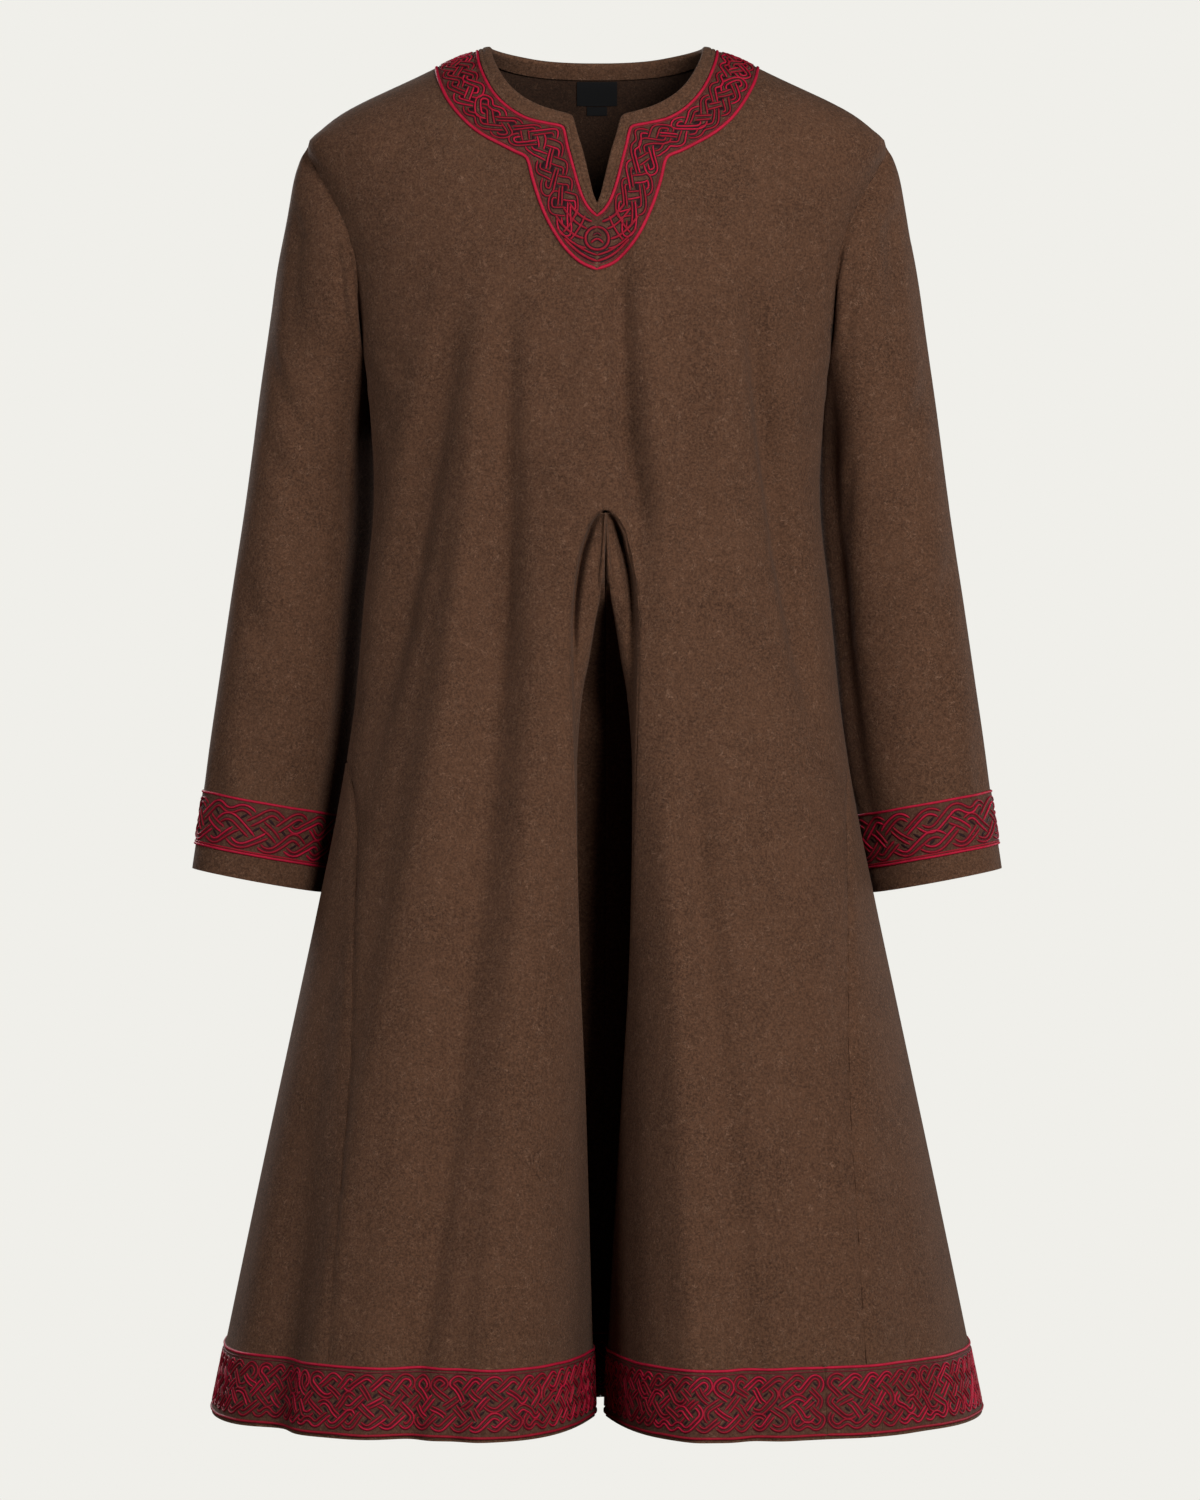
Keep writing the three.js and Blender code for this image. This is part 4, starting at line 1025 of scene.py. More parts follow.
def thread_material(finish: ThreadFinish) -> bpy.types.Material:
    """Make embroidery thread, stitched across each cord, with painted shade at its edges and a painted
    highlight along its crown.

    Args:
        finish: its colours and the length of thread for each stitch, in millimetres.

    Returns:
        The material.
    """
    tree = NodeTree(finish.name, 0.62)
    laid = tree.node("ShaderNodeUVMap", {"uv_map": "laid"}).outputs[0]
    parts = tree.node("ShaderNodeSeparateXYZ", _0=laid)
    where = tree.node("ShaderNodeTexCoord").outputs["Object"]
    wander = tree.noise(where, 700, 2)
    slant = tree.math("MULTIPLY_ADD", parts.outputs[1], 0.8, tree.math("MULTIPLY", wander, 0.9))
    phase = tree.math("MULTIPLY", tree.math("ADD", parts.outputs[0], slant), 2 * math.pi / finish.stitch)
    ridges = tree.ranged(tree.math("SINE", phase), -1, 1)
    # Painted shade and highlight: the colour darkens towards both edges of the cord and between the stitch
    # ridges, and is lightest along the crown.
    side = tree.math("ABSOLUTE", tree.math("MULTIPLY_ADD", parts.outputs[1], 2.0, -1.0))
    share = tree.math("MULTIPLY", tree.ranged(side, 0.35, 1.0, 1, 0.12), tree.ranged(ridges, 0, 1, 0.62, 1))
    tuft = tree.ranged(tree.noise(where, 130, 3), 0.3, 0.7, 0.72, 1.1)
    colour = tree.blend(tree.math("MULTIPLY", share, tuft), finish.dark, finish.light)
    tree.shader.inputs["Specular IOR Level"].default_value = 0.2
    return tree.finish(colour, ridges, 0.5, 0.0003)


def label_material(finish: LabelFinish) -> bpy.types.Material:
    """Make woven ribbon."""
    tree = NodeTree(finish.name, 0.7)
    where = tree.node("ShaderNodeTexCoord").outputs["Object"]
    weave = tree.node("ShaderNodeTexWave", {"bands_direction": "Z"}, Vector=where, Scale=420.0,
                      Distortion=0.4).outputs[0]
    light = tuple(value * 1.9 for value in finish.colour)
    return tree.finish(tree.blend(weave, finish.colour, light), weave, 0.5, 0.0002)


def kept(make: Callable, finish: object) -> bpy.types.Material:
    """A field that makes its material once for the garment."""
    return field(default_factory=lambda: make(finish))


@dataclass
class Materials:
    """The materials of the garment."""

    wool: bpy.types.Material = kept(wool_material, WOOL)
    # painted shade: the darker wool for the faces inside the garment
    inside: bpy.types.Material = kept(wool_material, INNER_WOOL_PAINTED_SHADE)
    ground: bpy.types.Material = kept(wool_material, BAND_WOOL)
    crimson: bpy.types.Material = kept(thread_material, CRIMSON)
    bright: bpy.types.Material = kept(thread_material, BRIGHT)
    deep: bpy.types.Material = kept(thread_material, DEEP_RED)
    # painted shade: dark red cords laid under the raised cords
    shade: bpy.types.Material = kept(thread_material, PAINTED_SHADE_RED)
    # painted shadow: black strokes and outlines
    dark: bpy.types.Material = kept(thread_material, PAINTED_SHADOW_BLACK)
    ribbon: bpy.types.Material = kept(label_material, BLACK_RIBBON)


class Slot(Enum):
    """The material slots of the record."""

    WOOL = "wool"
    BAND = "embroidered_band"
    LABEL = "label"


def dress(obj: bpy.types.Object, materials: Sequence[bpy.types.Material], node: str,
          slot: Slot) -> bpy.types.Object:
    """Give an object its materials and tie it to the frame.

    Args:
        obj: the piece.
        materials: its materials.
        node: the solid that it stands for.
        slot: not used.

    Returns:
        The piece.
    """
    for material in materials:
        obj.data.materials.append(material)
    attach(obj, BODY)
    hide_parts(node)
    return obj


def surface_area(grids: Sequence[Grid]) -> float:
    """Area of patches, in square metres."""
    total = 0.0
    for grid in grids:
        p = grid.points
        diagonals = np.cross(p[1:, 1:] - p[:-1, :-1], p[1:, :-1] - p[:-1, 1:])
        total += np.linalg.norm(diagonals, axis=-1).sum() / 2
    return total * MM * MM


# ---------------------------------------------------------------- embroidery

class Lattice:
    """A band laid flat: along it in millimetres, and across it from its first edge."""

    def __init__(self, grids: Sequence[Grid], lift: float) -> None:
        """Join patches side by side.

        Args:
            grids: the patches in order, each starting where the last one ended.
            lift: how far out of the patches the embroidery starts.
        """
        first, *others = grids
        self.points = np.concatenate([first.points] + [g.points[:, 1:] for g in others], axis=1)
        normals = np.concatenate([first.normals] + [g.normals[:, 1:] for g in others], axis=1)
        self.normals = unit(normals)
        self.points = self.points + self.normals * lift
        middle = self.points[len(self.points) // 2]
        steps = np.linalg.norm(np.diff(middle, axis=0), axis=-1)
        self.along = np.concatenate([[0], np.cumsum(steps)])
        self.length = float(self.along[-1])
        self.width = float(np.linalg.norm(self.points[-1] - self.points[0], axis=-1).mean())

    def at(self, along: Array, across: Array) -> tuple[Array, Array]:
        """Points and directions at places along and across the band, in millimetres."""
        last_row = len(self.points) - 1
        column = np.interp(along, self.along, np.arange(len(self.along)))
        row = np.clip(across / self.width, 0, 1) * last_row
        c = np.clip(column.astype(int), 0, len(self.along) - 2)
        r = np.clip(row.astype(int), 0, last_row - 1)
        s, t = (column - c)[..., None], (row - r)[..., None]
        found = []
        for values in (self.points, self.normals):
            top = mix(values[r, c], values[r, c + 1], s)
            found.append(mix(top, mix(values[r + 1, c], values[r + 1, c + 1], s), t))
        return found[0], unit(found[1])


class Tone(Enum):
    """Which thread a cord is laid in, or which painted shade; the value is its place in the materials."""

    CRIMSON = 0
    DEEP = 1
    BRIGHT = 2
    # SHADE and DARK are painted shade: dark cords laid under the raised cords and black strokes in the
    # holes, where shadow falls.
    SHADE = 3
    DARK = 4


class Needlework:
    """Raised cords of satin stitch, gathered into one object."""

    PROFILE = tuple((math.cos(math.pi * k / 4), math.sin(math.pi * k / 4)) for k in range(5))

    def __init__(self) -> None:
        """Start with no cords."""
        self.mesh = Mesh()
        self.laid: list[Array] = []
        self.tones: list[Array] = []

    def cord(self, points: Array, normals: Array, width: float, height: float,
             tone: Tone = Tone.CRIMSON) -> None:
        """Lay one cord.

        Args:
            points: places along its underside, in millimetres.
            normals: directions out of the band there.
            width: how wide it is; it narrows at both ends.
            height: how far it stands up.
            tone: its thread.
        """
        if len(points) < 2:
            return
        tangent = unit(np.gradient(points, axis=0))
        across = unit(np.cross(normals, tangent))
        along = np.concatenate([[0], np.cumsum(np.linalg.norm(np.diff(points, axis=0), axis=-1))])
        ends = np.minimum(along, along[-1] - along)
        taper = np.clip(0.45 + ends / width, 0, 1)[:, None]
        rows = [points + across * (x * width / 2) * taper + normals * (y * height * taper - 0.12)
                for x, y in self.PROFILE]
        vertices = np.stack(rows, axis=1)
        faces = quads(len(points), len(self.PROFILE))[:, ::-1]
        self.mesh.add(vertices, faces)
        u = np.repeat(along[:, None], len(self.PROFILE), axis=1)
        v = np.repeat(np.linspace(0, 1, len(self.PROFILE))[None, :], len(points), axis=0)
        self.laid.append(np.stack([u, v], axis=-1).reshape(-1, 2))
        self.tones.append(np.full(len(faces), tone.value))

    def on_band(self, band: Lattice, path: Array, width: float, height: float,
                tone: Tone = Tone.CRIMSON) -> None:
        """Lay a cord on a band, along a path of places along and across it."""
        self.cord(*band.at(path[:, 0], path[:, 1]), width, height, tone)

    def lines(self, band: Lattice, sizes: Sequence[tuple[float, float, float, Tone]]) -> None:
        """Lay straight cords along a band, each at a distance across it."""
        along = np.linspace(0, band.length, max(2, int(band.length / 3)))
        for across, width, height, tone in sizes:
            wander = 0.18 * np.sin(along / 17.0) + 0.12 * np.sin(along / 7.3 + across)
            self.on_band(band, np.stack([along, across + wander], axis=-1), width, height, tone)

    def made(self, name: str, node: str, materials: Materials) -> bpy.types.Object:
        """Turn the cords into one object."""
        obj = make_object(name, np.concatenate(self.mesh.vertices), np.concatenate(self.mesh.faces))
        laid = np.concatenate(self.laid)
        uv = obj.data.uv_layers.new(name="laid")
        corners = np.empty(len(obj.data.loops), dtype=np.int32)
        obj.data.loops.foreach_get("vertex_index", corners)
        uv.data.foreach_set("uv", laid[corners].ravel())
        obj.data.polygons.foreach_set("material_index", np.concatenate(self.tones).astype(np.int32))
        return dress(obj, tuple(getattr(materials, tone.name.lower()) for tone in Tone), node, Slot.BAND)


@dataclass(frozen=True)
class Knot:
    """An interlace of ribbons, each drawn as a pair of cords.

    It is worked on a lattice of half cells. Ribbons run along the diagonals and cross at every point
    whose two counts add up to an odd number, unless a wall there turns them back.
    """

    along: float
    across: float
    length: float
    height: float
    cells: int
    rows: int
    pair: float
    width: float
    seed: int
    walls: float = 0.24
    # width of the black strokes of painted shadow in the holes
    slot: float = 2.6
    wander: float = 1.5
    # the painted shade laid under each cord as a dark outline
    under: Tone = Tone.SHADE

    SAMPLES = 6
    LYING_WALLS = 0.62

    def wall_map(self) -> dict[tuple[int, int], str]:
        """Which points turn the ribbons back, and which way: h lies along the band, v across it."""
        dice = np.random.default_rng(self.seed)
        last_i, last_j = 2 * self.cells, 2 * self.rows
        found: dict[tuple[int, int], str] = {}
        for i in range(last_i + 1):
            for j in range(last_j + 1):
                if (i + j) % 2 == 0:
                    continue
                chance, kind = dice.random(2)
                if j in (0, last_j):
                    found[i, j] = "h"
                elif i in (0, last_i):
                    found[i, j] = "v"
                elif chance < self.walls and not any((i + di, j + dj) in found for di in (-1, 1)
                                                     for dj in (-1, 1) if 0 < j + dj < last_j):
                    found[i, j] = "h" if kind < self.LYING_WALLS else "v"
        return found

    def strands(self, walls: dict[tuple[int, int], str]) -> Iterable[list[tuple[Array, Array, Array, bool]]]:
        """Trace each closed ribbon as steps: place in, turning point, place out, and whether it crosses."""
        last_i, last_j = 2 * self.cells, 2 * self.rows
        left = {((i, j), (di, dj)) for i in range(last_i + 1) for j in range(last_j + 1)
                if (i + j) % 2 for di in (-1, 1) for dj in (-1, 1)
                if 0 <= i + di <= last_i and 0 <= j + dj <= last_j}
        for start in sorted(left):
            if start not in left:
                continue
            place, way = start
            steps = []
            while (place, way) in left:
                after = (place[0] + way[0], place[1] + way[1])
                left.discard((place, way))
                left.discard((after, (-way[0], -way[1])))
                wall = walls.get(after)
                turned = {"h": (way[0], -way[1]), "v": (-way[0], way[1]), None: way}[wall]
                came = np.array(after) - np.array(way) / 2
                goes = np.array(after) + np.array(turned) / 2
                steps.append((came, np.array(after, float), goes, wall is None))
                place, way = after, turned
            yield steps

    @property
    def half_cell(self) -> Array:
        """Length and height of half a cell, in millimetres."""
        return np.array([self.length / (2 * self.cells), self.height / (2 * self.rows)])

    def spread(self, places: Array) -> Array:
        """Half-cell counts as millimetres along and across the band, as unevenly as a hand lays them."""
        p = np.random.default_rng(self.seed + 500).random(4) * 2 * np.pi
        i, j = places[..., 0], places[..., 1]
        inside = np.sin(np.pi * np.clip(j / (2 * self.rows), 0, 1)) * np.sin(np.pi * np.clip(i / 3, 0, 0.5))
        along = np.sin(0.93 * i + p[0]) + 0.7 * np.sin(1.9 * i + 1.6 * j + p[1])
        across = np.sin(1.27 * i + p[2]) + 0.8 * np.sin(0.61 * i + 2.2 * j + p[3])
        stray = np.stack([along, 0.75 * across], axis=-1) * (self.wander * inside)[..., None]
        return np.array([self.along, self.across]) + places * self.half_cell + stray

    def paths(self) -> Iterable[Array]:
        """The cords of the interlace, cut where they pass under."""
        walls = self.wall_map()
        cell = self.half_cell
        for steps in self.strands(walls):
            centre, crossings = [], []
            for number, (came, turn, goes, crossing) in enumerate(steps):
                t = np.linspace(0, 1, self.SAMPLES + 1)[:-1, None]
                a, b, c = self.spread(came), self.spread(turn), self.spread(goes)
                centre.append((1 - t) ** 2 * a + 2 * t * (1 - t) * b + t * t * c)
                way = c - a
                over = (way[0] * way[1] > 0) == (int(turn[0]) % 2 == 1)
                if crossing and not over:
                    crossings.append((number, b, unit(np.array([way[0], -way[1]]))))
            line = np.concatenate(centre)
            line = np.concatenate([line, line[:1]])
            tangent = unit(np.gradient(line, axis=0))
            tangent[0] = tangent[-1] = unit(line[1] - line[-2])
            out = np.stack([-tangent[:, 1], tangent[:, 0]], axis=-1)
            reach = self.pair + self.width * 0.62
            count = len(line) - 1
            waves = max(1, round(count / 31))
            breadth = 1 + 0.18 * np.sin(np.arange(count + 1) * (2 * np.pi * waves / count))
            for offset in (-self.pair, self.pair):
                moved = line + out * offset * breadth[:, None]
                hidden = np.zeros(count + 1, bool)
                for number, middle, over_way in crossings:
                    near = np.arange((number - 1) * self.SAMPLES, (number + 2) * self.SAMPLES) % count
                    gap = moved[near] - middle
                    beside = np.abs(gap[:, 0] * over_way[1] - gap[:, 1] * over_way[0])
                    hidden[near] |= (beside < reach) & (np.linalg.norm(gap, axis=-1) < max(cell) * 1.1)
                hidden[-1] = hidden[0]
                yield from self.shown(moved, hidden)

    def shown(self, line: Array, hidden: Array) -> Iterable[Array]:
        """The stretches of a closed line that aren't hidden."""
        if not hidden.any():
            yield line
            return
        turn = int(np.argmax(hidden))
        rolled = np.roll(line[:-1], -turn, axis=0)
        covered = np.roll(hidden[:-1], -turn)
        edges = np.flatnonzero(np.diff(np.concatenate([[True], covered, [True]]).astype(int)))
        for start, stop in zip(edges[::2], edges[1::2]):
            if stop - start >= 2:
                yield rolled[start:stop]

    def fillings(self) -> Iterable[Array]:
        """Short bars in the wider gaps, where a wall parts two ribbons."""
        for (i, j), wall in self.wall_map().items():
            if 0 < j < 2 * self.rows and 0 < i < 2 * self.cells:
                half = 0.34 if wall == "h" else 0.3
                reach = np.array([half, 0.0]) if wall == "h" else np.array([0.0, half])
                share = np.linspace(-1, 1, 5)[:, None]
                yield self.spread(np.array([i, j]) + share * reach)

    def slots(self) -> Iterable[Array]:
        """Short black strokes of painted shadow in the holes of the interlace."""
        share = np.linspace(-1, 1, 4)[:, None]
        for i in range(1, 2 * self.cells):
            for j in range(1, 2 * self.rows):
                if (i + j) % 2 == 0:
                    slope = 1 if (i // 2 + j) % 2 else -1
                    reach = np.array([0.27, 0.27 * slope]) * self.half_cell
                    yield self.spread(np.array([i, j], float)) + share * reach

    def lay(self, work: Needlework, band: Lattice, height: float = 1.25) -> None:
        """Stitch the interlace on a band, with black strokes of painted shadow in its holes and painted
        shade under its cords.
        """
        # painted shadow: black strokes in the holes of the interlace
        for path in self.slots():
            work.on_band(band, path, self.slot, 0.35, Tone.DARK)
        for number, path in enumerate(self.paths()):
            # painted shade: a wider, flat dark cord under each raised cord
            work.on_band(band, path, self.width * 2.2, 0.3, self.under)
            work.on_band(band, path, self.width, height, Tone.BRIGHT if number % 3 == 1 else Tone.CRIMSON)
        for number, path in enumerate(self.fillings()):
            tone = Tone.DEEP if number % 3 else Tone.CRIMSON
            work.on_band(band, path, self.width * 0.9, height * 0.8, tone)


# ---------------------------------------------------------------- the pieces

BAND_LIFT = 0.15
BAND_THICKNESS = 0.6
LEFT_RIGHT = (Side.LEFT, Side.RIGHT)
SEAM_DEPTH = 1.5
SEAM_WIDTH = 5.0
COVERED_SEAM = 0.12
CLOTH = 2.0


def row_share(downs: Array, start: float, stop: float, fade: float = 0.012) -> Array:
    """One for the rows between two ways down a panel, fading out past them."""
    return ease((downs - start) / fade + 1) * ease((stop - downs) / fade + 1)


def declare_cloth(obj: bpy.types.Object, grids: Sequence[Grid], width: float, length: float) -> None:
    """State the cut of a piece of cloth.

    Args:
        obj: the piece.
        grids: its patches, which give the area of the cut.
        width: width of the cut, in millimetres.
        length: length of the cut, in millimetres.
    """
    area = min(surface_area(grids), width * length * MM * MM)
    LOG.info("%s: cut %.0f by %.0f mm, %.3f square metres", obj.name, width, length, area)


def band_ground(name: str, node: str, opened: Sequence[Grid], grids: Sequence[Grid],
                materials: Materials) -> tuple[bpy.types.Object, Lattice]:
    """Make the plain ground of a band.

    Args:
        name: name of the piece.
        node: the solid that it stands for.
        opened: its patches as they are cut.
        grids: its patches as the embroidery runs over them.
        materials: the materials of the garment.

    Returns:
        The ground, and the band laid flat for its embroidery.
    """
    ground = shell(name, opened, BAND_LIFT, BAND_LIFT + BAND_THICKNESS)
    dress(ground, (materials.ground,), node, Slot.BAND)
    return ground, Lattice(grids, BAND_LIFT + BAND_THICKNESS)


def sewn_in(side: Side, kind: str, grid: Grid, materials: Materials, width: float,
            length: float) -> bpy.types.Object:
    """Make a piece of one patch that is sewn in at one side.

    Args:
        side: the side.
        kind: what the piece is.
        grid: its patch.
        materials: the materials of the garment.
        width: width of its cut, in millimetres.
        length: length of its cut, in millimetres.

    Returns:
        The piece.
    """
    name = SIDE_NAMES[side]
    obj = shell(f"{name}_{kind}", [grid], -CLOTH, 0.0)
    dress(obj, (materials.wool,), f"{kind}_{name}", Slot.WOOL)
    declare_cloth(obj, [grid], width, length)
    return obj


@dataclass(frozen=True)
class Panel:
    """The front or the back, one width of cloth from the shoulders to the hem."""

    face: Face
    cut_width: float = 720.0
    cut_length: float = 1205.0

    def columns(self, form: PanelForm) -> Array:
        """Columns of one half, denser beside the seams."""
        even = np.linspace(0, form.last, 62)
        extra = np.array([0.05, 0.1, 0.16]) * form.last / 9
        return np.unique(np.concatenate([even, extra, form.last - extra]))

    def build(self, materials: Materials) -> bpy.types.Object:
        """Make the panel.

        Args:
            materials: the materials of the garment.

        Returns:
            The panel.
        """
        downs = np.concatenate([NECK_STEPS[:-1], down_of(PANEL_HEIGHTS)])
        seam = np.maximum(row_share(downs, down_of(10.0), down_of(HEM_BAND_TOP_Z + 6)), COVERED_SEAM)
        armhole = row_share(downs, down_of(SHOULDER_Z), down_of(UNDERARM_Z), 0.004)
        pleat = row_share(downs, down_of(APEX_SIDE_Z - 4), down_of(HEM_BAND_TOP_Z + 6), 0.006)
        below = (downs > down_of(APEX_SIDE_Z) + 1e-9).astype(float)
        grids = []
        for side in LEFT_RIGHT:
            form = HALVES[self.face, side]
            grid = form.grid(self.columns(form), downs)
            outer_edge = "right" if self.face.value * side.value > 0 else "left"
            sleeve = SLEEVES[side]
            heights = np.clip(SEAM_TOP_Z - (downs - 2) * 1000, UNDERARM_Z, SHOULDER_Z)
            shared = sleeve.seam_direction(sleeve.seam_column(self.face, heights))
            beside_sleeve = (downs > down_of(SHOULDER_Z + 8)) & (downs < down_of(UNDERARM_Z - 3))
            shared = shared * beside_sleeve[:, None]
            grid = grid.sunk(outer_edge, SEAM_DEPTH * (seam + 0.4 * armhole), SEAM_WIDTH, 0.15, shared)
            if self.face is Face.FRONT:
                inner_edge = "left" if outer_edge == "right" else "right"
                grid = grid.sunk(inner_edge, 3.0 * pleat * below, 1.4, 0.15 * below)
            grids.append(grid)
        name = "front" if self.face is Face.FRONT else "back"
        obj = shell(f"{name}_panel", grids, -CLOTH, 0.0)
        dress(obj, (materials.wool, materials.inside), name, Slot.WOOL)
        # the inward faces take the painted-shade wool
        self.paint_inside_shade(obj)
        declare_cloth(obj, grids, self.cut_width, self.cut_length)
        return obj

    def paint_inside_shade(self, obj: bpy.types.Object) -> None:
        """Give the faces that look into the garment a darker copy of the wool: painted shade for the inside
        of the garment.
        """
        facing = np.empty(len(obj.data.polygons) * 3, dtype=np.float32)
        obj.data.polygons.foreach_get("normal", facing)
        inward = facing.reshape(-1, 3)[:, 1] * self.face.value > 0.2
        obj.data.polygons.foreach_set("material_index", inward.astype(np.int32))


@dataclass(frozen=True)
class Sleeve:
    """A set-in sleeve, open at the cuff."""

    side: Side
    around: int = 100
    cut_width: float = 440.0
    cut_length: float = 640.0

    def build(self, materials: Materials) -> bpy.types.Object:
        """Make the sleeve."""
        rows = filled(((0, 0.02), (0.1, 0.05), (0.3, 0.085), (11, 0.09), (13, 1)))
        columns = np.linspace(0, SleeveForm.COLUMNS, self.around + 1)
        grid = SLEEVES[self.side].grid(columns, rows)
        ring = columns[::-1] if self.side is Side.LEFT else columns
        grid = grid.sunk("top", np.full(len(columns), SEAM_DEPTH * 1.4), 6.0, 0.15,
                         SLEEVES[self.side].seam_direction(ring))
        return sewn_in(self.side, "sleeve", grid, materials, self.cut_width, self.cut_length)


@dataclass(frozen=True)
class FrontGore:
    """One half of the gore in the centre-front pleat."""

    side: Side
    point_drop: float = 3.0
    cut_width: float = 130.0
    cut_length: float = 800.0

    def build(self, materials: Materials) -> bpy.types.Object:
        """Make the half gore."""
        form = FrontGoreForm(self.side)
        heights = filled(((GORE_APEX_Z - self.point_drop, 1.0), (-372, 4), (-420, 6),
                          (HEM_BAND_TOP_Z, 6), (HEM_Z, 1)))
        shares = np.unique(np.concatenate([np.linspace(0, 1, 26), np.linspace(0.01, 0.19, 13),
                                           (0.945, 0.97, 0.985)]))
        grid = form.grid(shares, heights)
        outer, middle = ("right", "left") if self.side is Side.LEFT else ("left", "right")
        every = np.ones(len(heights))
        grid = grid.sunk(outer, 1.6 * every, 1.3).sunk(middle, 0.3 * every, 1.0)
        return sewn_in(self.side, "front_gore", grid, materials, self.cut_width, self.cut_length)


@dataclass(frozen=True)
class SideGore:
    """The long triangle set in a side seam."""

    side: Side
    point_drop: float = 5.0
    cut_width: float = 360.0
    cut_length: float = 570.0

    def build(self, materials: Materials) -> bpy.types.Object:
        """Make the gore."""
        top = SIDE_GORE_TOP_Z - self.point_drop
        heights = filled(((top, 3), (-600, 5.2), (HEM_BAND_TOP_Z, 5), (HEM_Z, 1)))
        grid = SideGoreForm(self.side).grid(np.linspace(0, 1, 60), heights)
        sewn = SEAM_DEPTH * np.maximum(ease((heights - HEM_BAND_TOP_Z) / 12), COVERED_SEAM)
        grid = grid.sunk("left", sewn, SEAM_WIDTH).sunk("right", sewn, SEAM_WIDTH)
        return sewn_in(self.side, "side_gore", grid, materials, self.cut_width, self.cut_length)


def neck_grids(downs: Array, columns_a_side: int) -> list[Grid]:
    """Patches round the neck, from the middle of the front by the wearer's left."""
    grids = []
    for face, side in ((Face.FRONT, Side.LEFT), (Face.BACK, Side.LEFT), (Face.BACK, Side.RIGHT),
                       (Face.FRONT, Side.RIGHT)):
        form = HALVES[face, side]
        grids.append(form.grid(np.linspace(0, form.last, columns_a_side), downs))
    return grids


@dataclass(frozen=True)
class NeckBinding:
    """The strip of the main cloth that is turned over the neck edge and the slit."""

    lift: float = 0.3
    thickness: float = 1.0
    turn: float = 1.6
    padding: float = 0.7
    stitch: float = 0.8

    def profile(self) -> list[tuple[float, float, float]]:
        """Share of the way to the band, reach past the edge, and height over the panel."""
        top, low = self.lift + self.thickness, -CLOTH - self.lift
        outer = [(share, 0.0, top + self.padding * math.sin(math.pi * share) ** 0.7
                  - self.stitch * math.exp(-((share - 0.62) / 0.09) ** 2))
                 for share in (0.97, 0.9, 0.8, 0.72, 0.67, 0.62, 0.57, 0.5, 0.4, 0.25, 0.1)]
        turned = [(0.0, self.turn * math.sin(math.pi * k / 6) * 1.0,
                   mix(top, low - self.thickness, (1 - math.cos(math.pi * k / 6)) / 2)) for k in range(7)]
        inner = [(share, 0.0, low - self.thickness) for share in (0.3, 0.6, 0.86, 0.92)]
        under = [(0.92, 0.0, low), (0.0, 0.35, low), (0.0, 0.35, self.lift), (0.97, 0.0, self.lift)]
        return outer + turned + inner + under

    def build(self, materials: Materials) -> bpy.types.Object:
        """Make the binding."""
        lattice_points, lattice_normals = [], []
        for grid in neck_grids(np.array([0.0, 1.0]), 60):
            lattice_points.append(grid.points[:, :-1])
            lattice_normals.append(grid.normals[:, :-1])
        edge, bound = np.concatenate(lattice_points, axis=1)
        edge_out, bound_out = np.concatenate(lattice_normals, axis=1)
        rows = []
        along = bound - edge
        for share, past, out in self.profile():
            normal = unit(mix(edge_out, bound_out, share))
            rows.append(edge + along * share - unit(along) * past + normal * out)
        vertices = np.stack(rows)
        count, size = vertices.shape[1], len(rows)
        j, i = np.meshgrid(np.arange(size), np.arange(count), indexing="ij")
        a, b = j * count + i, j * count + (i + 1) % count
        c, d = (j + 1) % size * count + (i + 1) % count, (j + 1) % size * count + i
        faces = np.stack([a, b, c, d], axis=-1).reshape(-1, 4)
        obj = make_object("neck_edge_binding", vertices.reshape(-1, 3), faces)
        return dress(obj, (materials.wool,), "neck_binding", Slot.WOOL)


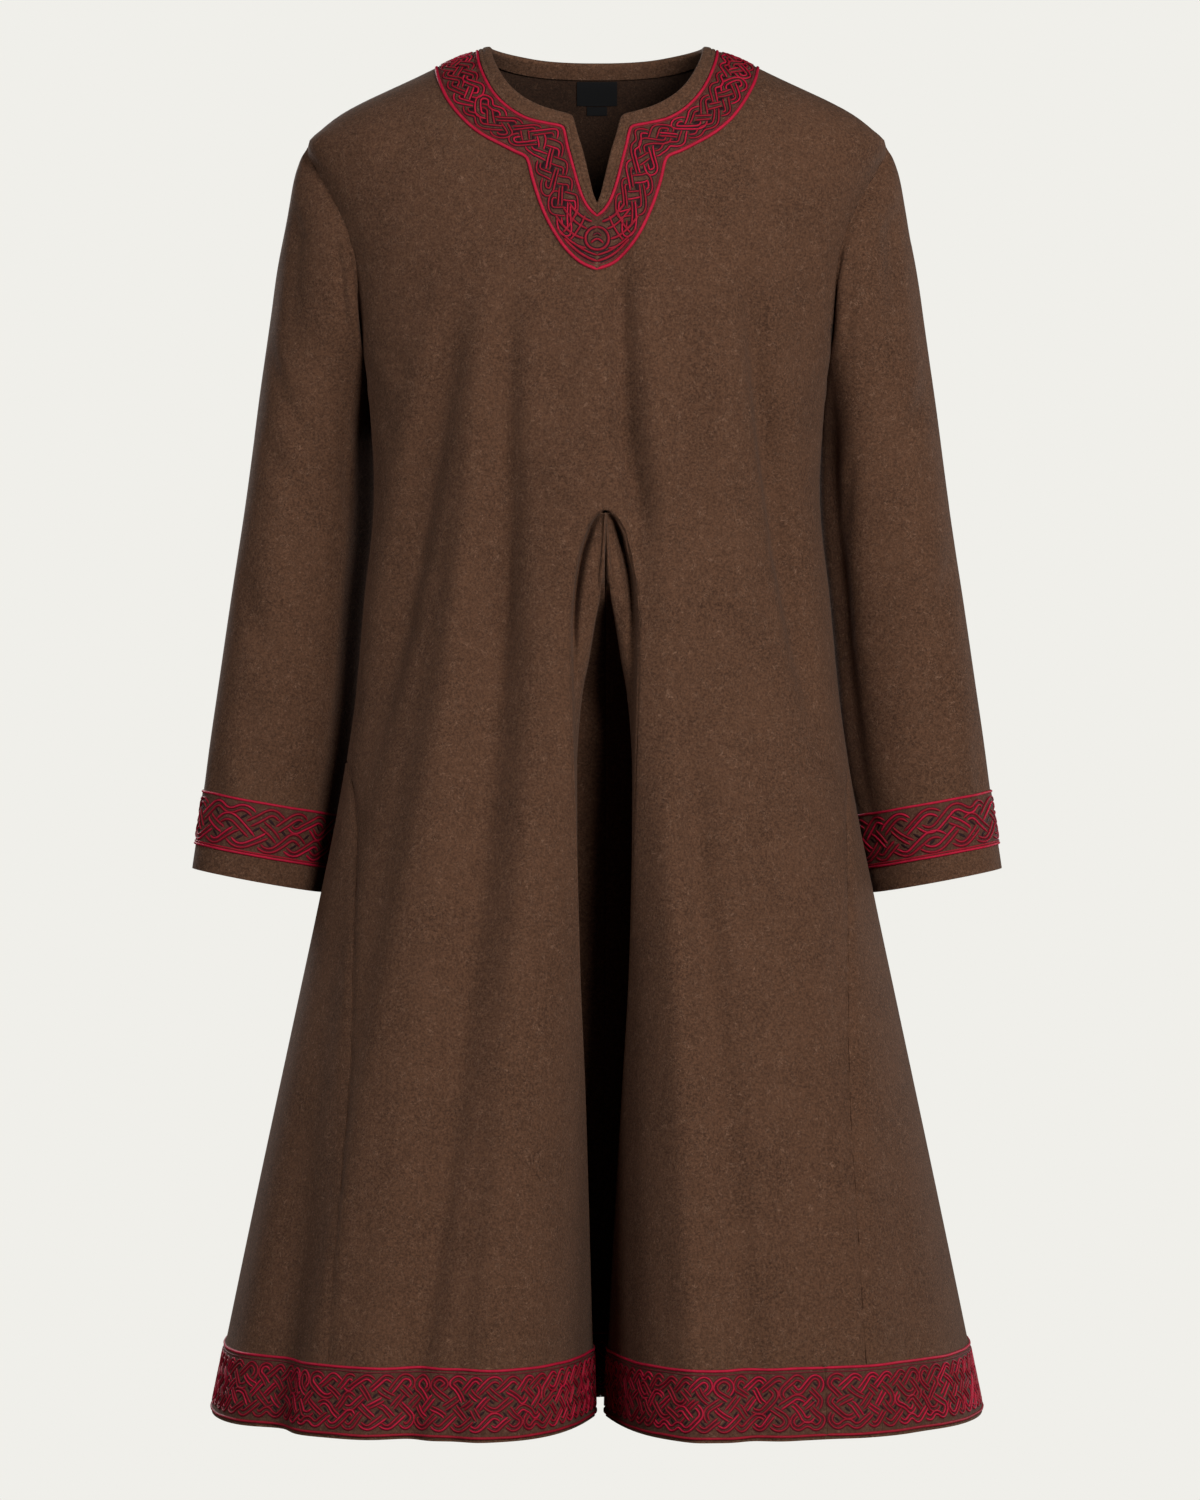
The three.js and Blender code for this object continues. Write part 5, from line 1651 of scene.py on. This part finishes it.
@dataclass(frozen=True)
class NeckBand:
    """The embroidered yoke round the neck, with a pointed tip under the slit."""

    knot_from: float = 26.0
    cell: float = 17.0
    loop_radius: float = 9.5
    loop_z: float = -131.0
    cut_width: float = 276.0
    cut_length: float = 300.0

    def build(self, materials: Materials) -> list[bpy.types.Object]:
        """Make the ground and the embroidery of the band."""
        grids = neck_grids(filled(((1, 0.1), (2, 1))), 56)
        ground, band = band_ground("neck_band_ground", "neck_band", grids, grids, materials)
        work = Needlework()
        work.lines(band, (
            (1.6, 2.8, 1.5, Tone.BRIGHT), (4.6, 0.9, 0.6, Tone.DEEP),
            (band.width - 1.6, 3.0, 1.6, Tone.BRIGHT), (band.width - 4.8, 0.9, 0.6, Tone.DEEP),
        ))
        half = band.length / 2
        for start, seed in ((self.knot_from, 11), (half + 2, 23)):
            length = half - self.knot_from - 2
            # under=Tone.DARK lays a black outline of painted shadow under each cord
            Knot(along=start, across=7.0, length=length, height=band.width - 14.0,
                 cells=round(length / self.cell), rows=2, pair=2.3, width=1.65, seed=seed, walls=0.22,
                 slot=3.6, wander=0.9, under=Tone.DARK).lay(work, band, 1.2)
        self.tip(work)
        cords = work.made("neck_embroidery", "neck_band", materials)
        declare_cloth(ground, grids, self.cut_width, self.cut_length)
        return [ground, cords]

    def tip(self, work: Needlework) -> None:
        """Stitch the loop, its chevron and the long drops in the pointed tip."""
        turn = np.linspace(0, 2 * np.pi, 49)
        loop = self.loop_radius * np.stack([np.sin(turn), np.cos(turn)], axis=-1) + (0, self.loop_z)
        self.flat(work, loop, 2.3)
        self.flat(work, self.bent((-5, -135), (0, -128), (5, -135)), 2.0)
        self.flat(work, self.bent((-3.4, -129), (0, -124.5), (3.4, -129)), 1.5, Tone.DEEP)
        for way in (-1, 1):
            lines = (
                ((4, -117), (16, -113), (23, -101), 2.3), ((8, -123), (19, -119), (28, -105), 2.0),
                ((11, -131), (24, -128), (34, -112), 2.3), ((9, -139), (20, -138), (33, -122), 2.0),
                ((0, -150), (14, -146), (27, -131), 2.4), ((0, -145), (11, -142), (20, -134), 1.9),
                ((10, -112), (13, -122), (22, -132), 2.0), ((16, -106), (20, -118), (28, -126), 2.0),
            )
            for start, middle, end, width in lines:
                path = self.bent(start, middle, end) * np.array([way, 1])
                self.flat(work, path, width)

    @staticmethod
    def bent(start: tuple[float, float], middle: tuple[float, float], end: tuple[float, float]) -> Array:
        """A curve from start to end that leans to the middle place."""
        t = np.linspace(0, 1, 22)[:, None]
        return (1 - t) ** 2 * np.array(start) + 2 * t * (1 - t) * np.array(middle) + t * t * np.array(end)

    @staticmethod
    def flat(work: Needlework, path: Array, width: float, tone: Tone = Tone.CRIMSON) -> None:
        """Lay a cord along places that are across from the middle and up, over a wider black cord of painted
        shadow.
        """
        across, z = path[:, 0], path[:, 1]
        angle = np.sign(across) * angle_across(np.abs(across), z)
        normals = BODY_FORM.normal(angle, z)
        points = BODY_FORM.point(angle, z) + normals * (BAND_LIFT + BAND_THICKNESS)
        # a wider black cord of painted shadow under the cord
        work.cord(points, normals, width * 2.1, 0.3, Tone.DARK)
        work.cord(points, normals, width, 1.3, tone)


@dataclass(frozen=True)
class CuffBand:
    """The embroidered band above a cuff edge."""

    side: Side
    first_row: float = 11.0
    last_row: float = 12.0
    joint_column: float = 8.0

    def build(self, materials: Materials) -> list[bpy.types.Object]:
        """Make the ground and the embroidery of the band."""
        rows = np.linspace(self.first_row, self.last_row, 11)
        columns = np.linspace(self.joint_column, self.joint_column + SleeveForm.COLUMNS, 89)
        grid = SLEEVES[self.side].grid(columns, rows)
        name = SIDE_NAMES[self.side]
        node = f"cuff_band_{name}"
        ground, band = band_ground(f"{name}_cuff_ground", node, [grid], [grid], materials)
        work = Needlework()
        work.lines(band, (
            (1.5, 2.3, 1.2, Tone.BRIGHT), (band.width - 1.4, 2.3, 1.2, Tone.BRIGHT),
            (band.width - 4.4, 1.6, 0.9, Tone.CRIMSON),
        ))
        Knot(along=1, across=6.0, length=band.length - 2, height=band.width - 13.0, cells=14, rows=2,
             pair=2.2, width=1.8, seed=41 + self.side.value, walls=0.3, wander=1.6).lay(work, band)
        cords = work.made(f"{name}_cuff_embroidery", node, materials)
        declare_cloth(ground, [grid], band.length, band.width)
        return [ground, cords]


@dataclass(frozen=True)
class HemBand:
    """The embroidered band round the hem, into the pleat and out again."""

    joint_column: float = 11.0
    edge: float = 2.0
    cell: float = 15.8
    rows: int = 13

    def grids(self) -> list[Grid]:
        """The patches of the band in order, from the joint by the wearer's left."""
        heights = np.linspace(HEM_BAND_TOP_Z, HEM_Z + self.edge, self.rows)
        downs = down_of(heights)
        left, right = HALVES[Face.FRONT, Side.LEFT], HALVES[Face.FRONT, Side.RIGHT]
        back = HALVES[Face.BACK, Side.LEFT], HALVES[Face.BACK, Side.RIGHT]
        shares = np.linspace(0, 1, 44)
        return [
            left.grid(np.linspace(self.joint_column, left.last, 26), downs),
            SideGoreForm(Side.LEFT).grid(shares, heights),
            back[0].grid(np.linspace(0, back[0].last, 64), downs),
            back[1].grid(np.linspace(0, back[1].last, 64), downs),
            SideGoreForm(Side.RIGHT).grid(shares, heights),
            right.grid(np.linspace(0, right.last, 84), downs),
            FrontGoreForm(Side.RIGHT).grid(np.linspace(0, 1, 20), heights),
            FrontGoreForm(Side.LEFT).grid(np.linspace(0, 1, 20), heights),
            left.grid(np.linspace(0, self.joint_column, 64), downs),
        ]

    def build(self, materials: Materials) -> list[bpy.types.Object]:
        """Make the ground and the embroidery of the band."""
        grids = self.grids()
        joint = np.full(self.rows, 0.3)
        opened = [grids[0].sunk("left", joint, 2.0, 0.5), *grids[1:-1],
                  grids[-1].sunk("right", joint, 2.0, 0.5)]
        ground, band = band_ground("hem_band_ground", "hem_band", opened, grids, materials)
        LOG.info("hem band: %.0f mm long, %.1f mm wide", band.length, band.width)
        borders = Needlework()
        borders.lines(band, (
            (1.5, 2.5, 1.4, Tone.BRIGHT), (4.6, 1.2, 0.8, Tone.DEEP),
            (band.width - 1.5, 2.4, 1.4, Tone.CRIMSON),
        ))
        works = [borders.made("hem_border_cords", "hem_band", materials)]
        half = band.length / 2
        for number, start in enumerate((1.5, half + 0.5)):
            work = Needlework()
            length = half - 2.0
            Knot(along=start, across=6.8, length=length, height=band.width - 13.0,
                 cells=round(length / self.cell), rows=3, pair=1.75, width=1.6, seed=71 + number, walls=0.3,
                 slot=2.2, wander=1.9).lay(work, band)
            works.append(work.made(f"hem_interlace_{number + 1}", "hem_band", materials))
        declare_cloth(ground, opened, band.length, band.width)
        return [ground, *works]


@dataclass(frozen=True)
class InsideLabel:
    """A woven patch inside the back of the neck."""

    name: str
    node: str
    columns: float
    first: float
    last: float
    thickness: float = 0.7
    gap: float = 0.3

    def build(self, materials: Materials) -> bpy.types.Object:
        """Make the patch."""
        downs = np.linspace(self.first, self.last, 7)
        grids = [HALVES[Face.BACK, side].grid(np.linspace(0, self.columns, 8), downs) for side in LEFT_RIGHT]
        out = -CLOTH - self.gap
        obj = shell(self.name, grids, out - self.thickness, out)
        dress(obj, (materials.ribbon,), self.node, Slot.LABEL)
        return obj


# ---------------------------------------------------------------- light and camera

@dataclass(frozen=True)
class Lamp:
    """A soft light."""

    name: str
    place: tuple[float, float, float]
    size: float
    power: float
    colour: tuple[float, float, float] = (1.0, 1.0, 1.0)

    def hang(self, target: tuple[float, float, float]) -> None:
        """Put the light in the scene and turn it to a target."""
        light = bpy.data.lights.new(self.name, "AREA")
        light.shape, light.size, light.energy, light.color = "DISK", self.size, self.power, self.colour
        obj = bpy.data.objects.new(self.name, light)
        obj.location = self.place
        away = np.array(self.place) - np.array(target)
        flat = math.hypot(away[0], away[1])
        obj.rotation_euler = (math.atan2(flat, away[2]), 0.0, math.atan2(away[0], -away[1]))
        bpy.context.collection.objects.link(obj)


@dataclass(frozen=True)
class Studio:
    """A pale even surround, a key light in front to the right, and weaker lights round the rest."""

    backdrop: tuple[float, float, float] = (0.871, 0.863, 0.823)
    ambient: float = 0.012
    lamps: tuple[Lamp, ...] = (
        Lamp("key light", (1.3, -3.08, 0.53), 1.1, 86.0, (1.0, 0.985, 0.965)),
        Lamp("right light", (2.55, -2.12, 0.53), 1.2, 31.0, (1.0, 0.985, 0.965)),
        Lamp("left light", (-2.4, -2.3, 0.4), 1.2, 21.0),
        Lamp("left edge light", (-3.22, -0.86, 0.53), 1.2, 16.0),
        Lamp("back light", (-1.8, 3.2, 0.9), 1.6, 90.0),
        Lamp("low back light", (2.6, 2.2, -0.4), 1.6, 34.0),
    )
    target: tuple[float, float, float] = (0.0, 0.0, -0.55)
    camera_place: tuple[float, float, float] = (0.00255, -4.2, -0.5542)
    focal: float = 118.59
    sensor: float = 36.0

    def build(self) -> None:
        """Set the surround, the lights and the camera."""
        scene = bpy.context.scene
        scene.view_settings.view_transform = "Standard"
        world = bpy.data.worlds.new("pale surround")
        scene.world = world
        world.use_nodes = True
        nodes, links = world.node_tree.nodes, world.node_tree.links
        nodes.clear()
        path = nodes.new("ShaderNodeLightPath")
        seen, felt = nodes.new("ShaderNodeBackground"), nodes.new("ShaderNodeBackground")
        seen.inputs[0].default_value = (*self.backdrop, 1)
        felt.inputs[0].default_value = (1, 1, 1, 1)
        felt.inputs[1].default_value = self.ambient
        mixer, out = nodes.new("ShaderNodeMixShader"), nodes.new("ShaderNodeOutputWorld")
        links.new(path.outputs["Is Camera Ray"], mixer.inputs[0])
        links.new(felt.outputs[0], mixer.inputs[1])
        links.new(seen.outputs[0], mixer.inputs[2])
        links.new(mixer.outputs[0], out.inputs[0])
        for lamp in self.lamps:
            lamp.hang(self.target)
        camera = bpy.data.cameras.new("front camera")
        camera.sensor_fit, camera.sensor_height, camera.lens = "VERTICAL", self.sensor, self.focal
        obj = bpy.data.objects.new("front camera", camera)
        obj.location, obj.rotation_euler = self.camera_place, (math.pi / 2, 0.0, 0.0)
        bpy.context.collection.objects.link(obj)
        scene.camera = obj


class Tunic:
    """The whole garment."""

    def __init__(self) -> None:
        """Make the materials."""
        self.materials = Materials()
        self.built: list[bpy.types.Object] = []

    def build(self) -> None:
        """Make every piece."""
        for face in Face:
            self.built.append(Panel(face).build(self.materials))
        for side in LEFT_RIGHT:
            for kind in (Sleeve, FrontGore, SideGore):
                self.built.append(kind(side).build(self.materials))
            self.built += CuffBand(side).build(self.materials)
        self.built.append(NeckBinding().build(self.materials))
        self.built += NeckBand().build(self.materials)
        self.built += HemBand().build(self.materials)
        self.built.append(InsideLabel("maker_label", "label", 2.0, 1.01, 1.48).build(self.materials))
        self.built.append(InsideLabel("small_tab", "size_tab", 1.0, 1.5, 1.67).build(self.materials))

    def report(self) -> None:
        """Log the size of each piece."""
        total = 0
        for obj in self.built:
            triangles = sum(len(polygon.vertices) - 2 for polygon in obj.data.polygons)
            total += triangles
            LOG.info("%s: %d triangles", obj.name, triangles)
        LOG.info("all: %d triangles", total)


def main() -> None:
    """Build the garment and its studio.
    """
    logging.basicConfig(level=logging.INFO, format="%(message)s")
    tunic = Tunic()
    tunic.build()
    Studio().build()
    tunic.report()


if __name__ == "__main__":
    main()
